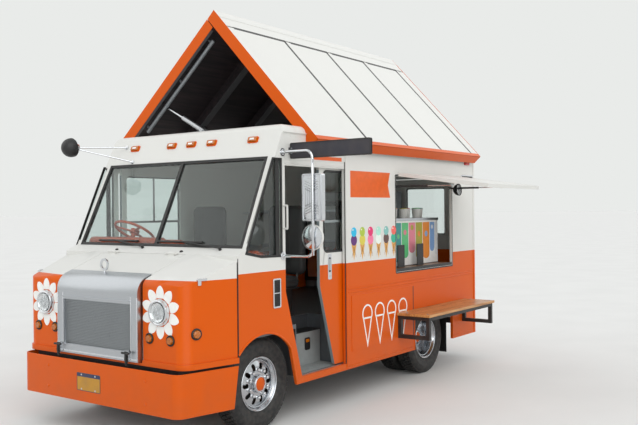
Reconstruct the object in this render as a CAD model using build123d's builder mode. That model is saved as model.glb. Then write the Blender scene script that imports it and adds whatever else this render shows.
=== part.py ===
"""Walk-in step van fitted out as an ice cream truck: right-hand drive, a serving hatch on its left
side and a gabled roof whose far leaf folds down. Millimetres: X forward, Y to the left, Z up; the
front axle stands above X = 0, and every piece is moved to the box's bottom centre when it is saved."""
from build123d import *
import os
from math import atan2, cos, degrees, hypot, radians, sin, sqrt, tan

# Shared clearances and pins
fit_gap = 0.3
pin_r = 8

# Body
body_half = 1105
wall = 30
inner_half = body_half - wall
sill_z = 340
roof_z = 2650
roof_r = 80
wall_top = roof_z - roof_r
rear_x = -4048
seam_x = 405
cowl_z = 1520
header_back_x = -400
panel_out = 5
access_x = (-2460, -1250)
access_z = (500, 1050)

# Windshield, its foot and head as x, z
glass_foot = (279, 1576)
glass_head = (-89, 2356)
glass_foot_half = body_half - 60
glass_head_half = body_half - 79
glass_t = 8
glass_in = 14
seal_w = 26
seal_out = 4
divider_w = 34

# Chassis
wheelbase = 2970
rail_y = body_half - 675
rail_w = 66
rail_h = 180
rail_z = 500
rail_front_x = 820
rail_rear_x = rear_x + 38
rail_t = 10
web_in = rail_y + rail_w / 2 - rail_t
member_half = 35
member_h = 60
cross_members = (
    # x, lower z; the second is arched over the drive shaft
    (700, 550), (-900, 608), (-1900, 550), (-2450, 550), (-3500, 550), (rail_rear_x + 50, 550),
)

# Wheels and axles
tyre_r = 400
tyre_w = 215
rim_r = 228
rim_seat = 0.72
tyre_face_y = body_half - 101
twin_gap = 44
wheel_mid_y = tyre_face_y - tyre_w / 2
twin_mid = tyre_face_y - tyre_w - twin_gap / 2
kingpin_y = tyre_face_y - 204
kingpin_r = 16
spindle_r = 28
fork_gap = 29
beam_z = tyre_r - 4
spring_half = 560
spring_y = rail_y
spring_w = 64
arch_mid = (70, 395)
arch_r = 458
arch_back = ((-289, 680), (-385, 300))
rear_arch = (-wheelbase - 450, -wheelbase + 475, 770)

# Sliding cab doors, which run inside the walls
door_x = (-1147, -222)
door_top = 2350
door_bend_z = 1180
door_foot_x = -447
door_out_y = inner_half - 10
door_t = 32
door_gap = 5
door_lift = 14
door_lap = 22
door_open = 560
door_rail_z = 2395
door_rail_h = 34
door_rail_end = -2120
door_stile = 67
door_window_w = 760
door_window_z = (1495, 2255)
door_window_r = 50
hanger_t = 12
handle_z = (1230, 1470)
grab_x = -196
grab_z = (1730, 1930)
grab_out = 45
grab_r = 9

# Rear wall with its two doors
rear_door_half = 800
rear_door_z = (850, 2280)
rear_door_t = 30
rear_gap = 6
rear_pivot = (rear_x - 12, rear_door_half + 10)
rear_hinge_z = (rear_door_z[0] + 150, rear_door_z[1] - 150)
rear_window_y = (140, 700)
rear_window_z = (1560, 2160)

# Floor with its slots and step wells, engine cover and bulkhead
floor_z = 820
floor_t = 40
floor_top = floor_z + floor_t
floor_under = floor_z - fit_gap
step_z = 400
well_x = (door_x[0], door_foot_x - 20)
well_y = 640
well_t = 10
slot_y = door_out_y - door_t - 8
slot_front_x = -290
bulkhead_x = 255
bulkhead_z = 1530
cover_x = (-560, bulkhead_x - fit_gap)
cover_half = 330
cover_z = 1210
cover_t = 30
post_xs = (-3800, -3000, -2200, -1300, -300)
post_half = 30

# Nose
nose_front_x = 900
nose_low = 655
nose_wall = 22
nose_corner_r = 110
nose_edge_r = 75
nose_sections = (
    # x, half width, shoulder z, crown half width, crown z
    (nose_front_x, body_half - 120, 1300, 500, 1335),
    (seam_x, body_half - 5, 1478, 640, 1526),
)
nose_taper = (nose_sections[1][1] - nose_sections[0][1]) / (nose_front_x - seam_x)
lip_out = 12
lip_h = 45
lid_half = 530
lid_gap = 6
lid_front_x = nose_front_x - 110
lid_hinge = (seam_x + 38, 1530)
lid_hinge_y = 380
lid_hinge_half = 39

# Grille, its roll as heights from the face to the lid
grille_half = lid_half - 15
grille_low = 681
grille_t = 12
grille_face_x = 945
roll_z = (1215, 1316, 1366, 1384)
roll_x = (32, 45)
screen_half = 430
screen_z = (755, 1145)
screen_t = 8
screen_pitch = (66, 65)
screen_hole = (54, 53)
latch_ys = (37 - grille_half, grille_half - 115)
latch_z = (grille_low - 5, 770)
ornament = (lid_front_x + 22, -45, roll_z[3] - 8.8)
ornament_z = 1442
ornament_r = (52, 34)

# Lamps
lamp_y = 730
lamp_z = 1094
lamp_r = 100
turn_lamps = [(y, 880) for y in (607, 845)]
turn_r = 34
clearance_ys = (-743.49, -225.72, 34.65, 297.99, 799.92)
clearance_rise = 1040
tail_lamp = (body_half - 145, 1000, 110, 240)
top_lamp = (body_half - 205, 2440, 36)
side_lamp = (-3819, 2442, 110, 40)
tail_out = 24

# Bumpers
bumper_front_x = 968
bumper_half = body_half - 124
bumper_z = (290, 633)
bumper_t = 10
bumper_r = 120
bumper_back = (450, 405)
plate_mid = (-72, 458)
plate_holes = (178, 121)
plate_hole_r = 3.5
step_bumper_x = -4225
step_bumper_z = (460, 500)
step_bumper_half = 900

# Engine, tank between the step well and the rear arch, and exhaust
engine_x = (-500, 560)
engine_half = 250
engine_z = (572, 1150)
radiator_x = (690, 755)
radiator_half = 380
radiator_z = (700, 1180)
tank_x = (rear_arch[1] + 115, door_x[0] - 273)
tank_y = (-940, -480)
tank_z = (360, 620)
tank_r = 60
silencer_x = (-1300, -wheelbase + 770)
silencer_y = 300
silencer_z = 400
silencer_r = 85
pipe_r = 28
hanger_x = (silencer_x[0] - 480, silencer_x[0] - 440)

# Gabled roof: ridge, eaves and the far leaf's pivot as y, z
ridge = (-20, 3862)
leaf_x = (-3948, -539)
leaf_t = 105
leaf_skin = 17
leaf_edge = 40
leaf_bays = 4
rafter_w = 100
near_eave = (body_half + 127, 2525)
far_eave = (-body_half - 280, 2655)
far_slope = 41.2
leaf_pivot = (-body_half + 120, 2830)
ridge_gap = 6
roof_post_y = 520
post_w = 50
rail_top = roof_z + 40
lug_w = 20
lug_r = 14

# Actuator that lifts the far leaf
actuator_x = -645
actuator_foot = (-250, 2690)
actuator_eye = (-783, 2976)
cylinder_r = 26
cylinder_l = 350
rod_r = 12
eye_r = 18

# Serving window and its hatch
serve_x = (-3420, -2118)
serve_z = (1220, 2242)
hatch_depth = 1050
hatch_t = 35
hatch_skin = 10
hatch_start = 22
hatch_rim = 40
hatch_rib = 60
hatch_lap = 20
hatch_droop = 8
hatch_pivot = (body_half + 26, 2262)
hatch_under = 20
hatch_lugs = [serve_x[0] + 180, sum(serve_x) / 2, serve_x[1] - 180]
hatch_lug_half = 20
hatch_knuckle = 45
hatch_barrel_r = 12
hatch_pin_r = 5
strut_foot = (body_half - 15, 2131)
strut_reach = 632
strut_drop = 45
strut_r = 11
strut_rod_r = 5
strut_l = 380
strut_in = 34
strut_pin_r = 5
strut_ends = [(serve_x[0] + strut_in, serve_x[0]), (serve_x[1] - strut_in, serve_x[1])]

# Serving counter with its ledge, cabinet, splash panel and menu stands
counter_z = serve_z[0]
counter_t = 35
counter_y = (body_half - 705, body_half - 5)
ledge_y = counter_y[1] - 180
ledge_z = counter_z + counter_t - 4
splash_t = 20
splash_h = 540
menu_xs = (-2400, -2830)
menu_y = ledge_y + 80
menu_half = 70
menu_h = 244

# Side table under the serving window
table_x = (-3730, -2100)
table_y = (body_half + panel_out + 2, body_half + 400)
table_z = 790
table_t = 28
table_bar = 40

# Blade sign
sign_y = (body_half + 20, body_half + 847)
sign_z = (2345, 2474)
sign_x = -293
sign_t = 20

# Mirrors on their tube arms
mirror_x = -190
mirror_arm_y = body_half + 325
mirror_arm_z = (1493, 2395)
mirror_head = ((body_half + 225, body_half + 433), (1795, 2197))
mirror_t = 50
spot_mirror = (body_half + 313, 1658, 104)
far_mirror = (300, -body_half - 54, 2526)
far_mirror_r = 88
far_mirror_feet = ((-713, 2378), (-880, 2533))
arm_r = 13
arm_bend = 70

# Wipers parked along the foot of the glass, their spindles on the cowl
wiper_lift = 48
wiper_spindle_x = 318
wiper_w = 14
wipers_at = (
    # spindle y, blade's tip, heel and joint along the glass
    (-120, -790, -240, -560),
    (833, 24, 580, 320),
)

# Cab interior, with the steering wheel on the right
wheel_at = (-50, -640, 1690)
wheel_lean = 32
wheel_r = 200
seat_ys = (-640, 420)
seat_x = (-1060, -580)
seat_w = 460
seat_z = (1130, 1260)
back_h = 720
back_t = 110

slant = atan2(glass_head[1] - glass_foot[1], glass_foot[0] - glass_head[0])
roof_front = (glass_foot[0] - (roof_z - glass_foot[1]) / tan(slant), roof_z)
droop = radians(hatch_droop)
hatch_edge_y = hatch_pivot[0] + hatch_depth * cos(droop) + (hatch_t - hatch_under) * sin(droop)
centre_x = (bumper_front_x + step_bumper_x) / 2
centre_y = (hatch_edge_y + far_eave[0]) / 2
to_base = Location((-centre_x, -centre_y, 0))

os.makedirs("parts", exist_ok=True)


def save(piece, name):
    """Label a finished piece, move it to the shared origin and write it."""
    piece.part.label = name
    moved = piece.part.moved(to_base)
    moved.label = name
    export_step(moved, f"parts/{name}.step")


def side_plane(y):
    """A sketch plane across the truck at y: local x runs forward, local y up, extruding to -Y."""
    return Plane(origin=(0, y, 0), x_dir=(1, 0, 0), z_dir=(0, -1, 0))


def cross_plane(x):
    """A sketch plane along the truck at x: local x runs to the left, local y up, extruding to +X."""
    return Plane(origin=(x, 0, 0), x_dir=(0, 1, 0), z_dir=(1, 0, 0))


def box(x_span, y_span, z_span, mode=Mode.ADD):
    """A block between three pairs of limits."""
    middle = [(a + b) / 2 for a, b in (x_span, y_span, z_span)]
    size = [abs(a - b) for a, b in (x_span, y_span, z_span)]
    with Locations(tuple(middle)):
        Box(*size, mode=mode)


def tube(start, end, radius, mode=Mode.ADD):
    """A round bar between two points."""
    first, last = Vector(*start), Vector(*end)
    with Locations(Plane(origin=(first + last) / 2, z_dir=last - first)):
        Cylinder(radius, (last - first).length, mode=mode)


def outline(*points, grow=0):
    """A flat closed outline through the points, moved out by grow."""
    with BuildSketch() as shape:
        with BuildLine():
            Polyline(*points, close=True)
        make_face()
        if grow:
            offset(amount=grow, kind=Kind.INTERSECTION, mode=Mode.REPLACE)
    return shape.sketch


def body_form(inset, reach=0):
    """Cab and box as one closed form, its faces moved in by inset and its foot down by reach."""
    with BuildPart() as form:
        with BuildSketch(side_plane(0)) as side:
            with BuildLine():
                Polyline(
                    (seam_x, sill_z - reach), (seam_x, cowl_z), glass_foot, roof_front,
                    (rear_x, roof_z), (rear_x, sill_z - reach), close=True,
                )
            make_face()
            if inset:
                offset(amount=-inset, kind=Kind.INTERSECTION, mode=Mode.REPLACE)
            fillet(side.vertices().sort_by(Axis.Y)[-2:], radius=roof_r - inset)
        extrude(amount=body_half - inset, both=True)
        with BuildSketch(cross_plane(seam_x)) as section:
            with Locations((0, roof_z - inset)):
                Rectangle(2 * (body_half - inset), 3 * roof_z, align=(Align.CENTER, Align.MAX))
            fillet(section.vertices().sort_by(Axis.Y)[-2:], radius=roof_r - inset)
        extrude(amount=2 * rear_x, both=True, mode=Mode.INTERSECT)
    return form.part


body_shell = body_form(0) - body_form(wall, reach=2 * wall)


def door_outline():
    """The cab door's opening, which slants back towards its foot."""
    rear, front = door_x
    return outline(
        (rear, step_z), (door_foot_x, step_z), (front, door_bend_z), (front, door_top), (rear, door_top)
    )


def quarter_outline():
    """The fixed cab window between the pillar and the door."""
    return outline((296, 1536), (105, 1500), (-170, 1495), (-170, 2333), (-62, 2333))


def front_arch():
    """The front wheel's arch in side view: round over the tyre, with a straight edge behind it."""
    with BuildSketch() as arch:
        with Locations(arch_mid):
            Circle(arch_r)
        add(outline(arch_back[0], arch_back[1], (arch_mid[0] - arch_r, arch_back[1][1] - 200),
                    (arch_mid[0] - arch_r, arch_back[0][1])), mode=Mode.SUBTRACT)
        front = seam_x + 20
        add(outline(arch_back[0], arch_back[1], (front, arch_back[1][1]), (front, arch_back[0][1])))
    return arch.sketch


def upright_seam(x, low, high):
    """A seam between two panels at x, as its spans in x and z."""
    return (x - fit_gap / 2, x + fit_gap / 2), (low, high)


# The panels meet at the serving window's ends, over and under the door, and over the skirt
wall_seams = [
    upright_seam(serve_x[0], 0, wall_top + 1), upright_seam(serve_x[1], 0, wall_top + 1),
    upright_seam(door_x[0], door_top, wall_top + 1), upright_seam(door_x[0], 0, step_z),
    upright_seam(door_x[1], door_top, wall_top + 1), upright_seam(door_foot_x, 0, step_z),
    ((rear_arch[1], serve_x[1]), (rear_arch[2] - fit_gap, rear_arch[2])),
]


def side_wall(side, serving):
    """One side of the cab and box: wheel arches, door and window openings cut through."""
    outer = side * body_half
    with BuildPart() as panel:
        add(body_shell)
        box((rear_x, seam_x + 10), (side * inner_half, side * (body_half + 10)), (0, wall_top),
            Mode.INTERSECT)
        with BuildSketch(side_plane(0)):
            add(front_arch())
            rear, front, top = rear_arch
            add(outline((rear, 0), (front, 0), (front, top), (rear, top)))
        extrude(amount=2 * body_half, both=True, mode=Mode.SUBTRACT)
        with BuildSketch(side_plane(0)):
            add(door_outline())
            add(quarter_outline())
            if serving:
                with Locations((sum(serve_x) / 2, sum(serve_z) / 2)):
                    Rectangle(serve_x[1] - serve_x[0], serve_z[1] - serve_z[0])
        extrude(amount=2 * body_half, both=True, mode=Mode.SUBTRACT)
        # Seams between the wall's panels
        for x_span, z_span in wall_seams:
            box(x_span, (side * (inner_half - fit_gap), side * (body_half + fit_gap)), z_span, Mode.SUBTRACT)
        # Lower access panel, standing a little proud between the door and the rear wheel
        box(access_x, (outer + side * fit_gap, outer + side * panel_out), access_z)
        # The sliding door's rail, inside over the opening
        rail_in = side * (door_out_y - door_t + hanger_t + fit_gap)
        box((door_rail_end, door_x[1] + 60), (rail_in, side * (inner_half - fit_gap)),
            (door_rail_z, door_rail_z + door_rail_h))
        # Grab handle on the door's front post
        for z in grab_z:
            tube((grab_x, outer, z), (grab_x, outer + side * grab_out, z), grab_r)
        y = outer + side * grab_out
        tube((grab_x, y, grab_z[0]), (grab_x, y, grab_z[1]), grab_r)
        if serving:
            # Hinge lugs above the serving window
            for x in hatch_lugs:
                half = hatch_lug_half
                box((x - half, x + half), (outer, hatch_pivot[0]), (hatch_pivot[1] - 6, hatch_pivot[1] + 14))
                tube((x - half, *hatch_pivot), (x + half, *hatch_pivot), hatch_barrel_r)
            for x in hatch_lugs:
                tube((x - hatch_knuckle, *hatch_pivot), (x + hatch_knuckle, *hatch_pivot), hatch_pin_r)
            # Pins on the window's jambs for the struts
            for x, jamb in strut_ends:
                tube((jamb, *strut_foot), (x + (x - jamb) * 0.5, *strut_foot), strut_pin_r)
    return panel


left_wall = side_wall(1, True)
save(left_wall, "left_wall")
right_wall = side_wall(-1, False)
save(right_wall, "right_wall")

with BuildPart() as roof_panel:
    add(body_shell)
    box((rear_x - 10, header_back_x), (-body_half - 10, body_half + 10), (wall_top, roof_z + 10),
        Mode.INTERSECT)
save(roof_panel, "roof_panel")

# The windshield's own plane: local x to the left, local y up the glass, z outwards
glass_plane = Plane(
    origin=(glass_foot[0], 0, glass_foot[1]), x_dir=(0, 1, 0), z_dir=(sin(slant), 0, cos(slant))
)
glass_rise = hypot(glass_head[0] - glass_foot[0], glass_head[1] - glass_foot[1])


def windshield_outline(inset):
    """The windshield's outline on its own plane, drawn in by inset."""
    return outline(
        (-glass_foot_half, 0), (glass_foot_half, 0), (glass_head_half, glass_rise),
        (-glass_head_half, glass_rise), grow=-inset,
    )


with BuildPart() as cab_front:
    add(body_shell)
    box((header_back_x, seam_x + 10), (-body_half - 10, body_half + 10), (cowl_z - 90, roof_z + 10),
        Mode.INTERSECT)
    for side in (-1, 1):
        box((header_back_x - 10, seam_x + 20), (side * inner_half, side * (body_half + 20)), (0, wall_top),
            Mode.SUBTRACT)
    with BuildSketch(glass_plane):
        add(windshield_outline(0))
    extrude(amount=3 * wall, both=True, mode=Mode.SUBTRACT)
save(cab_front, "cab_front")

with BuildPart() as windshield_seal:
    with BuildSketch(glass_plane.offset(-wall)):
        add(windshield_outline(0))
        add(windshield_outline(seal_w), mode=Mode.SUBTRACT)
        with Locations((0, glass_rise / 2)):
            Rectangle(divider_w, glass_rise)
    extrude(amount=wall + seal_out)
save(windshield_seal, "windshield_seal")

with BuildPart() as cab_glass:
    with BuildSketch(side_plane(body_half - glass_t)):
        add(quarter_outline())
    extrude(amount=glass_t)
    mirror(about=Plane.XZ)
    with BuildSketch(glass_plane.offset(-glass_in)):
        add(windshield_outline(seal_w))
        with Locations((0, glass_rise / 2)):
            Rectangle(divider_w, glass_rise, mode=Mode.SUBTRACT)
    extrude(amount=glass_t)
save(cab_glass, "cab_glass")

with BuildPart() as rear_wall:
    box((rear_x, rear_x + wall), (-inner_half, inner_half), (600, wall_top))
    box((rear_x - 50, rear_x + 50), (-rear_door_half, rear_door_half), rear_door_z, Mode.SUBTRACT)
    for side in (-1, 1):
        for z in rear_hinge_z:
            y = side * rear_pivot[1]
            tube((rear_pivot[0], y, z - 60), (rear_pivot[0], y, z + 60), 6)
            box((rear_pivot[0] - 5, rear_x), (y - 5, y + 5), (z - 60, z - 40))
            box((rear_pivot[0] - 5, rear_x), (y - 5, y + 5), (z + 40, z + 60))
save(rear_wall, "rear_wall")


def rear_door(side):
    """One rear door: a framed leaf with its window cut and its hinge barrels."""
    inner = rear_gap / 2
    outer = rear_door_half - rear_gap
    low, high = rear_door_z[0] + rear_gap, rear_door_z[1] - rear_gap
    with BuildPart() as leaf:
        box((rear_x - 2, rear_x + rear_door_t), (side * inner, side * outer), (low, high))
        box((rear_x - 50, rear_x + 50), (side * rear_window_y[0], side * rear_window_y[1]), rear_window_z,
            Mode.SUBTRACT)
        for z in rear_hinge_z:
            y = side * rear_pivot[1]
            box((rear_pivot[0] - 11, rear_x - 2), (side * (outer - 60), y), (z - 39, z + 39))
            tube((rear_pivot[0], y, z - 39), (rear_pivot[0], y, z + 39), 11)
            tube((rear_pivot[0], y, z - 60), (rear_pivot[0], y, z + 60), 6 + fit_gap, Mode.SUBTRACT)
    return leaf


for side, word in ((1, "left"), (-1, "right")):
    save(rear_door(side), f"rear_door_{word}")
    with BuildPart() as rear_glass:
        box((rear_x + glass_t, rear_x + 14), (side * rear_window_y[0], side * rear_window_y[1]), rear_window_z)
    save(rear_glass, f"rear_glass_{word}")


def door_leaf_outline(shift):
    """The sliding door: the opening's own slant, with a lap behind the opening's rear edge."""
    rear, front = door_x
    return outline(
        (rear - door_lap - shift, step_z + door_lift), (door_foot_x - door_gap - shift, step_z + door_lift),
        (front - door_gap - shift, door_bend_z), (front - door_gap - shift, door_rail_z - door_lift),
        (rear - door_lap - shift, door_rail_z - door_lift),
    )


def door_window(shift, mode=Mode.ADD):
    """The door's window opening."""
    front = door_x[1] - door_gap - door_stile - shift
    with Locations((front - door_window_w / 2, sum(door_window_z) / 2)):
        RectangleRounded(door_window_w, door_window_z[1] - door_window_z[0], door_window_r, mode=mode)


for side, word, shift in ((1, "left", door_open), (-1, "right", 0)):
    outer = side * door_out_y
    with BuildPart() as door:
        with BuildSketch(side_plane(outer)):
            add(door_leaf_outline(shift))
            door_window(shift, Mode.SUBTRACT)
        extrude(amount=side * door_t)
        # Hangers that run on the rail's inner face
        for x in (door_x[0] + 80 - shift, door_x[1] - 160 - shift):
            box((x - 30, x + 30), (side * (door_out_y - door_t), side * (door_out_y - door_t + hanger_t)),
                (door_rail_z - 20, door_rail_z + 30))
        # Handle plate
        box((door_x[1] - 190 - shift, door_x[1] - 130 - shift), (outer, outer + side * 4), handle_z)
    save(door, f"cab_door_{word}")
    with BuildPart() as pane:
        with BuildSketch(side_plane(outer - side * 12)):
            door_window(shift)
        extrude(amount=side * 6)
    save(pane, f"door_glass_{word}")

with BuildPart() as floor:
    box((rear_x + wall, seam_x - 120), (-inner_half, inner_half), (floor_z, floor_top))
    cheek_in = cover_half - cover_t
    box((cover_x[0] + cover_t, seam_x), (-cheek_in, cheek_in), (floor_z - 1, floor_top + 1), Mode.SUBTRACT)
    for side in (-1, 1):
        # The sliding door's slot, then the opening over the step
        box((door_rail_end - 10, slot_front_x), (side * slot_y, side * (inner_half + 1)),
            (floor_z - 1, floor_top + 1), Mode.SUBTRACT)
        box(well_x, (side * well_y, side * inner_half), (0, floor_top + 1), Mode.SUBTRACT)
    # Engine cover: two cheeks, a back and a lid
    for side in (-1, 1):
        box(cover_x, (side * cheek_in, side * cover_half), (floor_top + fit_gap, cover_z - cover_t))
    box((cover_x[0], cover_x[0] + cover_t - fit_gap), (fit_gap - cheek_in, cheek_in - fit_gap),
        (floor_top + fit_gap, cover_z - cover_t))
    box(cover_x, (-cover_half, cover_half), (cover_z - cover_t + fit_gap, cover_z))
    # Bulkhead, open over the engine: two cheeks and the strip above
    for side in (-1, 1):
        box((bulkhead_x, bulkhead_x + wall), (side * cheek_in, side * inner_half),
            (floor_top + fit_gap, cover_z - cover_t))
    box((bulkhead_x, bulkhead_x + wall), (-inner_half, inner_half), (cover_z - cover_t + fit_gap, bulkhead_z))
    # Step wells, each a tread, an inner wall and two ends
    for side in (-1, 1):
        rear, front = well_x
        box((rear - well_t, front + well_t), (side * (well_y - well_t), side * inner_half),
            (step_z - well_t, step_z))
        box((rear - well_t, front + well_t), (side * (well_y - well_t), side * well_y),
            (step_z + fit_gap, floor_under))
        for x in (rear - well_t, front):
            box((x, x + well_t), (side * (well_y + fit_gap), side * slot_y), (step_z + fit_gap, floor_under))
    for y in (-rail_y, rail_y):
        for x in post_xs:
            box((x - post_half, x + post_half), (y - rail_w / 2, y + rail_w / 2),
                (rail_z + rail_h, floor_under))
save(floor, "floor")


def nose_plan(grow):
    """The nose seen from above, its outline moved out by grow, with rounded front corners."""
    front, half = nose_front_x + grow, nose_sections[0][1] + grow
    back = seam_x - 300
    back_half = half + (front - back) * nose_taper
    with BuildSketch() as plan:
        add(outline((front, -half), (front, half), (back, back_half), (back, -back_half)))
        fillet(plan.vertices().sort_by(Axis.X)[-2:], radius=nose_corner_r + grow)
    return plan.sketch


def nose_form(inset, reach=0):
    """The nose as a closed form, its faces moved in by inset, its foot and back out by reach."""
    front, back = nose_sections
    rise = [(b - f) / (back[0] - front[0]) for f, b in zip(front, back)]
    end = [b - r * reach for b, r in zip(back, rise)]
    with BuildPart() as form:
        for x, half, shoulder, crown_half, crown in (front, end):
            with BuildSketch(cross_plane(x)):
                add(outline(
                    (-half + inset, nose_low - reach), (-half + inset, shoulder - inset),
                    (-crown_half, crown - inset), (crown_half, crown - inset),
                    (half - inset, shoulder - inset), (half - inset, nose_low - reach),
                ))
        loft()
        with BuildSketch(Plane.XY.offset(nose_low - 2 * reach - 50)):
            add(nose_plan(-inset))
        extrude(amount=1500, mode=Mode.INTERSECT)
        with BuildSketch(side_plane(0)) as profile:
            edge, crown = nose_front_x - inset, front[4] - inset - inset * rise[4]
            add(outline((edge, 0), (edge, crown), (edge - 1000, crown - 1000 * rise[4]), (edge - 1000, 0)))
            fillet(profile.vertices().sort_by(Axis.X)[-2:].sort_by(Axis.Y)[-1:], radius=nose_edge_r - inset)
        extrude(amount=1300, both=True, mode=Mode.INTERSECT)
    return form.part


nose_skin = nose_form(0) - nose_form(nose_wall, reach=60)

with BuildPart() as nose_shell:
    add(nose_skin)
    box((seam_x + 10, nose_front_x + 50), (-lid_half, lid_half), (grille_low - 6, 1600), Mode.SUBTRACT)
    with BuildSketch(side_plane(0)):
        with Locations(arch_mid):
            Circle(arch_r)
    extrude(amount=1300, both=True, mode=Mode.SUBTRACT)
    # Lip moulding round the foot
    with BuildSketch(Plane.XY.offset(nose_low)):
        add(nose_plan(lip_out))
        add(nose_plan(-nose_wall / 2), mode=Mode.SUBTRACT)
        with Locations((seam_x, 0)):
            Rectangle(1200, 3000, align=(Align.MAX, Align.CENTER), mode=Mode.SUBTRACT)
    extrude(amount=lip_h)
    box((seam_x + 10, nose_front_x + 50), (-lid_half, lid_half), (grille_low - 6, 1600), Mode.SUBTRACT)
    # Hinge lugs and pins for the lid, on the strip behind it
    for y in (-lid_hinge_y, lid_hinge_y):
        for end in (-1, 1):
            low, high = sorted((y + end * 40, y + end * 60))
            box((seam_x, lid_hinge[0]), (low, high), (lid_hinge[1] - 8, lid_hinge[1] + 5))
            tube((lid_hinge[0], low, lid_hinge[1]), (lid_hinge[0], high, lid_hinge[1]), 11)
        tube((lid_hinge[0], y - 60, lid_hinge[1]), (lid_hinge[0], y + 60, lid_hinge[1]), 6)
save(nose_shell, "nose_shell")

with BuildPart() as hood_lid:
    add(nose_skin)
    box((seam_x + 18, lid_front_x), (lid_gap - lid_half, lid_half - lid_gap), (1200, 1600), Mode.INTERSECT)
    for side in (-1, 1):
        y = side * lid_hinge_y
        low, high = y - lid_hinge_half, y + lid_hinge_half
        box((lid_hinge[0] - 6, lid_hinge[0] + 6), (low, high), (1500, lid_hinge[1]))
        tube((lid_hinge[0], low, lid_hinge[1]), (lid_hinge[0], high, lid_hinge[1]), 11)
        tube((lid_hinge[0], y - 60, lid_hinge[1]), (lid_hinge[0], y + 60, lid_hinge[1]), 6 + fit_gap,
            Mode.SUBTRACT)
save(hood_lid, "hood_lid")


def grille_profile(inset, reach=0):
    """Side profile of the grille surround, which rolls back over the nose in a round shoulder."""
    with BuildSketch() as profile:
        with BuildLine():
            shoulder = ThreePointArc(
                (grille_face_x - inset, roll_z[0]),
                (grille_face_x - roll_x[0] - 0.7 * inset, roll_z[1] - 0.7 * inset),
                (lid_front_x + roll_x[1], roll_z[2] - inset),
            )
            Polyline(
                shoulder @ 1, (lid_front_x - reach, roll_z[3] + 0.4 * reach - inset),
                (lid_front_x - reach, grille_low + inset), (grille_face_x - inset, grille_low + inset),
                shoulder @ 0,
            )
        make_face()
    return profile.sketch


with BuildPart() as grille_surround:
    with BuildSketch(side_plane(0)):
        add(grille_profile(0))
    extrude(amount=grille_half, both=True)
    with BuildSketch(side_plane(0)):
        add(grille_profile(grille_t, reach=10))
    extrude(amount=grille_half - grille_t, both=True, mode=Mode.SUBTRACT)
    box((nose_front_x, grille_face_x + 20), (-screen_half, screen_half), screen_z, Mode.SUBTRACT)
save(grille_surround, "grille_surround")

with BuildPart() as grille_screen:
    with BuildSketch(cross_plane(grille_face_x - 20)):
        with Locations((0, sum(screen_z) / 2)):
            Rectangle(2 * screen_half + 20, screen_z[1] - screen_z[0] + 20)
            with GridLocations(*screen_pitch, 13, 6):
                Rectangle(*screen_hole, mode=Mode.SUBTRACT)
    extrude(amount=screen_t)
save(grille_screen, "grille_screen")

# Lamps on the nose
with BuildPart() as headlamps:
    for side in (-1, 1):
        centre = (nose_front_x, side * lamp_y, lamp_z)
        with BuildSketch(Plane(origin=centre, x_dir=(1, 0, 0), z_dir=(0, 0, 1))):
            with BuildLine():
                Polyline(
                    (0, 0), (26, 0), (20, lamp_r - 34), (21, lamp_r - 24), (32, lamp_r - 16),
                    (26, lamp_r), (0, lamp_r), close=True,
                )
            make_face()
        revolve(axis=Axis(centre, (1, 0, 0)))
save(headlamps, "headlamps")

with BuildPart() as amber_lamps:
    for side in (-1, 1):
        for y, z in turn_lamps:
            with BuildSketch(cross_plane(nose_front_x)):
                with Locations((side * y, z)):
                    Circle(turn_r)
            extrude(amount=22, taper=20)
    # Clearance lamps along the header
    for y in clearance_ys:
        with BuildSketch(glass_plane):
            with Locations((y, clearance_rise)):
                Rectangle(96, 40)
        extrude(amount=24)
save(amber_lamps, "amber_lamps")

# Front bumper with wings that end ahead of the wheels
with BuildPart() as front_bumper:
    with BuildSketch(Plane.XY.offset(bumper_z[0])) as plan:
        with Locations((bumper_front_x, 0)):
            Rectangle(bumper_front_x - 400, 2 * bumper_half, align=(Align.MAX, Align.CENTER))
        fillet(plan.vertices().sort_by(Axis.X)[-2:], radius=bumper_r)
    extrude(amount=bumper_z[1] - bumper_z[0])
    with BuildSketch(Plane.XY.offset(bumper_z[0])) as hollow:
        with Locations((bumper_front_x - bumper_t, 0)):
            Rectangle(bumper_front_x, 2 * (bumper_half - bumper_t), align=(Align.MAX, Align.CENTER))
        fillet(hollow.vertices().sort_by(Axis.X)[-2:], radius=bumper_r - bumper_t)
    extrude(amount=bumper_z[1] - bumper_z[0], mode=Mode.SUBTRACT)
    # The wings' ends lean forward towards the ground
    with BuildSketch(side_plane(0)):
        with BuildLine():
            low, high = bumper_z[0] - 5, bumper_z[1] + 5
            Polyline((300, low), (bumper_back[0], low), (bumper_back[1], high), (300, high), close=True)
        make_face()
    extrude(amount=1300, both=True, mode=Mode.SUBTRACT)
    with BuildSketch(cross_plane(bumper_front_x + 5)):
        with Locations(plate_mid):
            with GridLocations(*plate_holes, 2, 2):
                Circle(plate_hole_r)
    extrude(amount=-bumper_t - 10, mode=Mode.SUBTRACT)
    # Brackets back to the frame rails
    for side in (-1, 1):
        y = side * rail_y
        box((rail_front_x, bumper_front_x - bumper_t), (y - rail_w / 2, y + rail_w / 2),
            (rail_z, rail_z + 120))
save(front_bumper, "front_bumper")


def spring(x, y, low, high):
    """A leaf spring pack: an arc between its eyes, with the axle seat in the middle."""
    with BuildPart() as pack:
        with BuildSketch(side_plane(y + spring_w / 2)):
            with BuildLine():
                ThreePointArc((x - spring_half, high), (x, low), (x + spring_half, high))
                ThreePointArc((x - spring_half, high + 26), (x, low + 34), (x + spring_half, high + 26))
                Line((x - spring_half, high), (x - spring_half, high + 26))
                Line((x + spring_half, high), (x + spring_half, high + 26))
            make_face()
        extrude(amount=spring_w)
        for end in (-1, 1):
            ex = x + end * spring_half
            box((ex - 25, ex + 25), (y - spring_w / 2, y + spring_w / 2), (high + 10, rail_z))
    return pack.part


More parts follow.
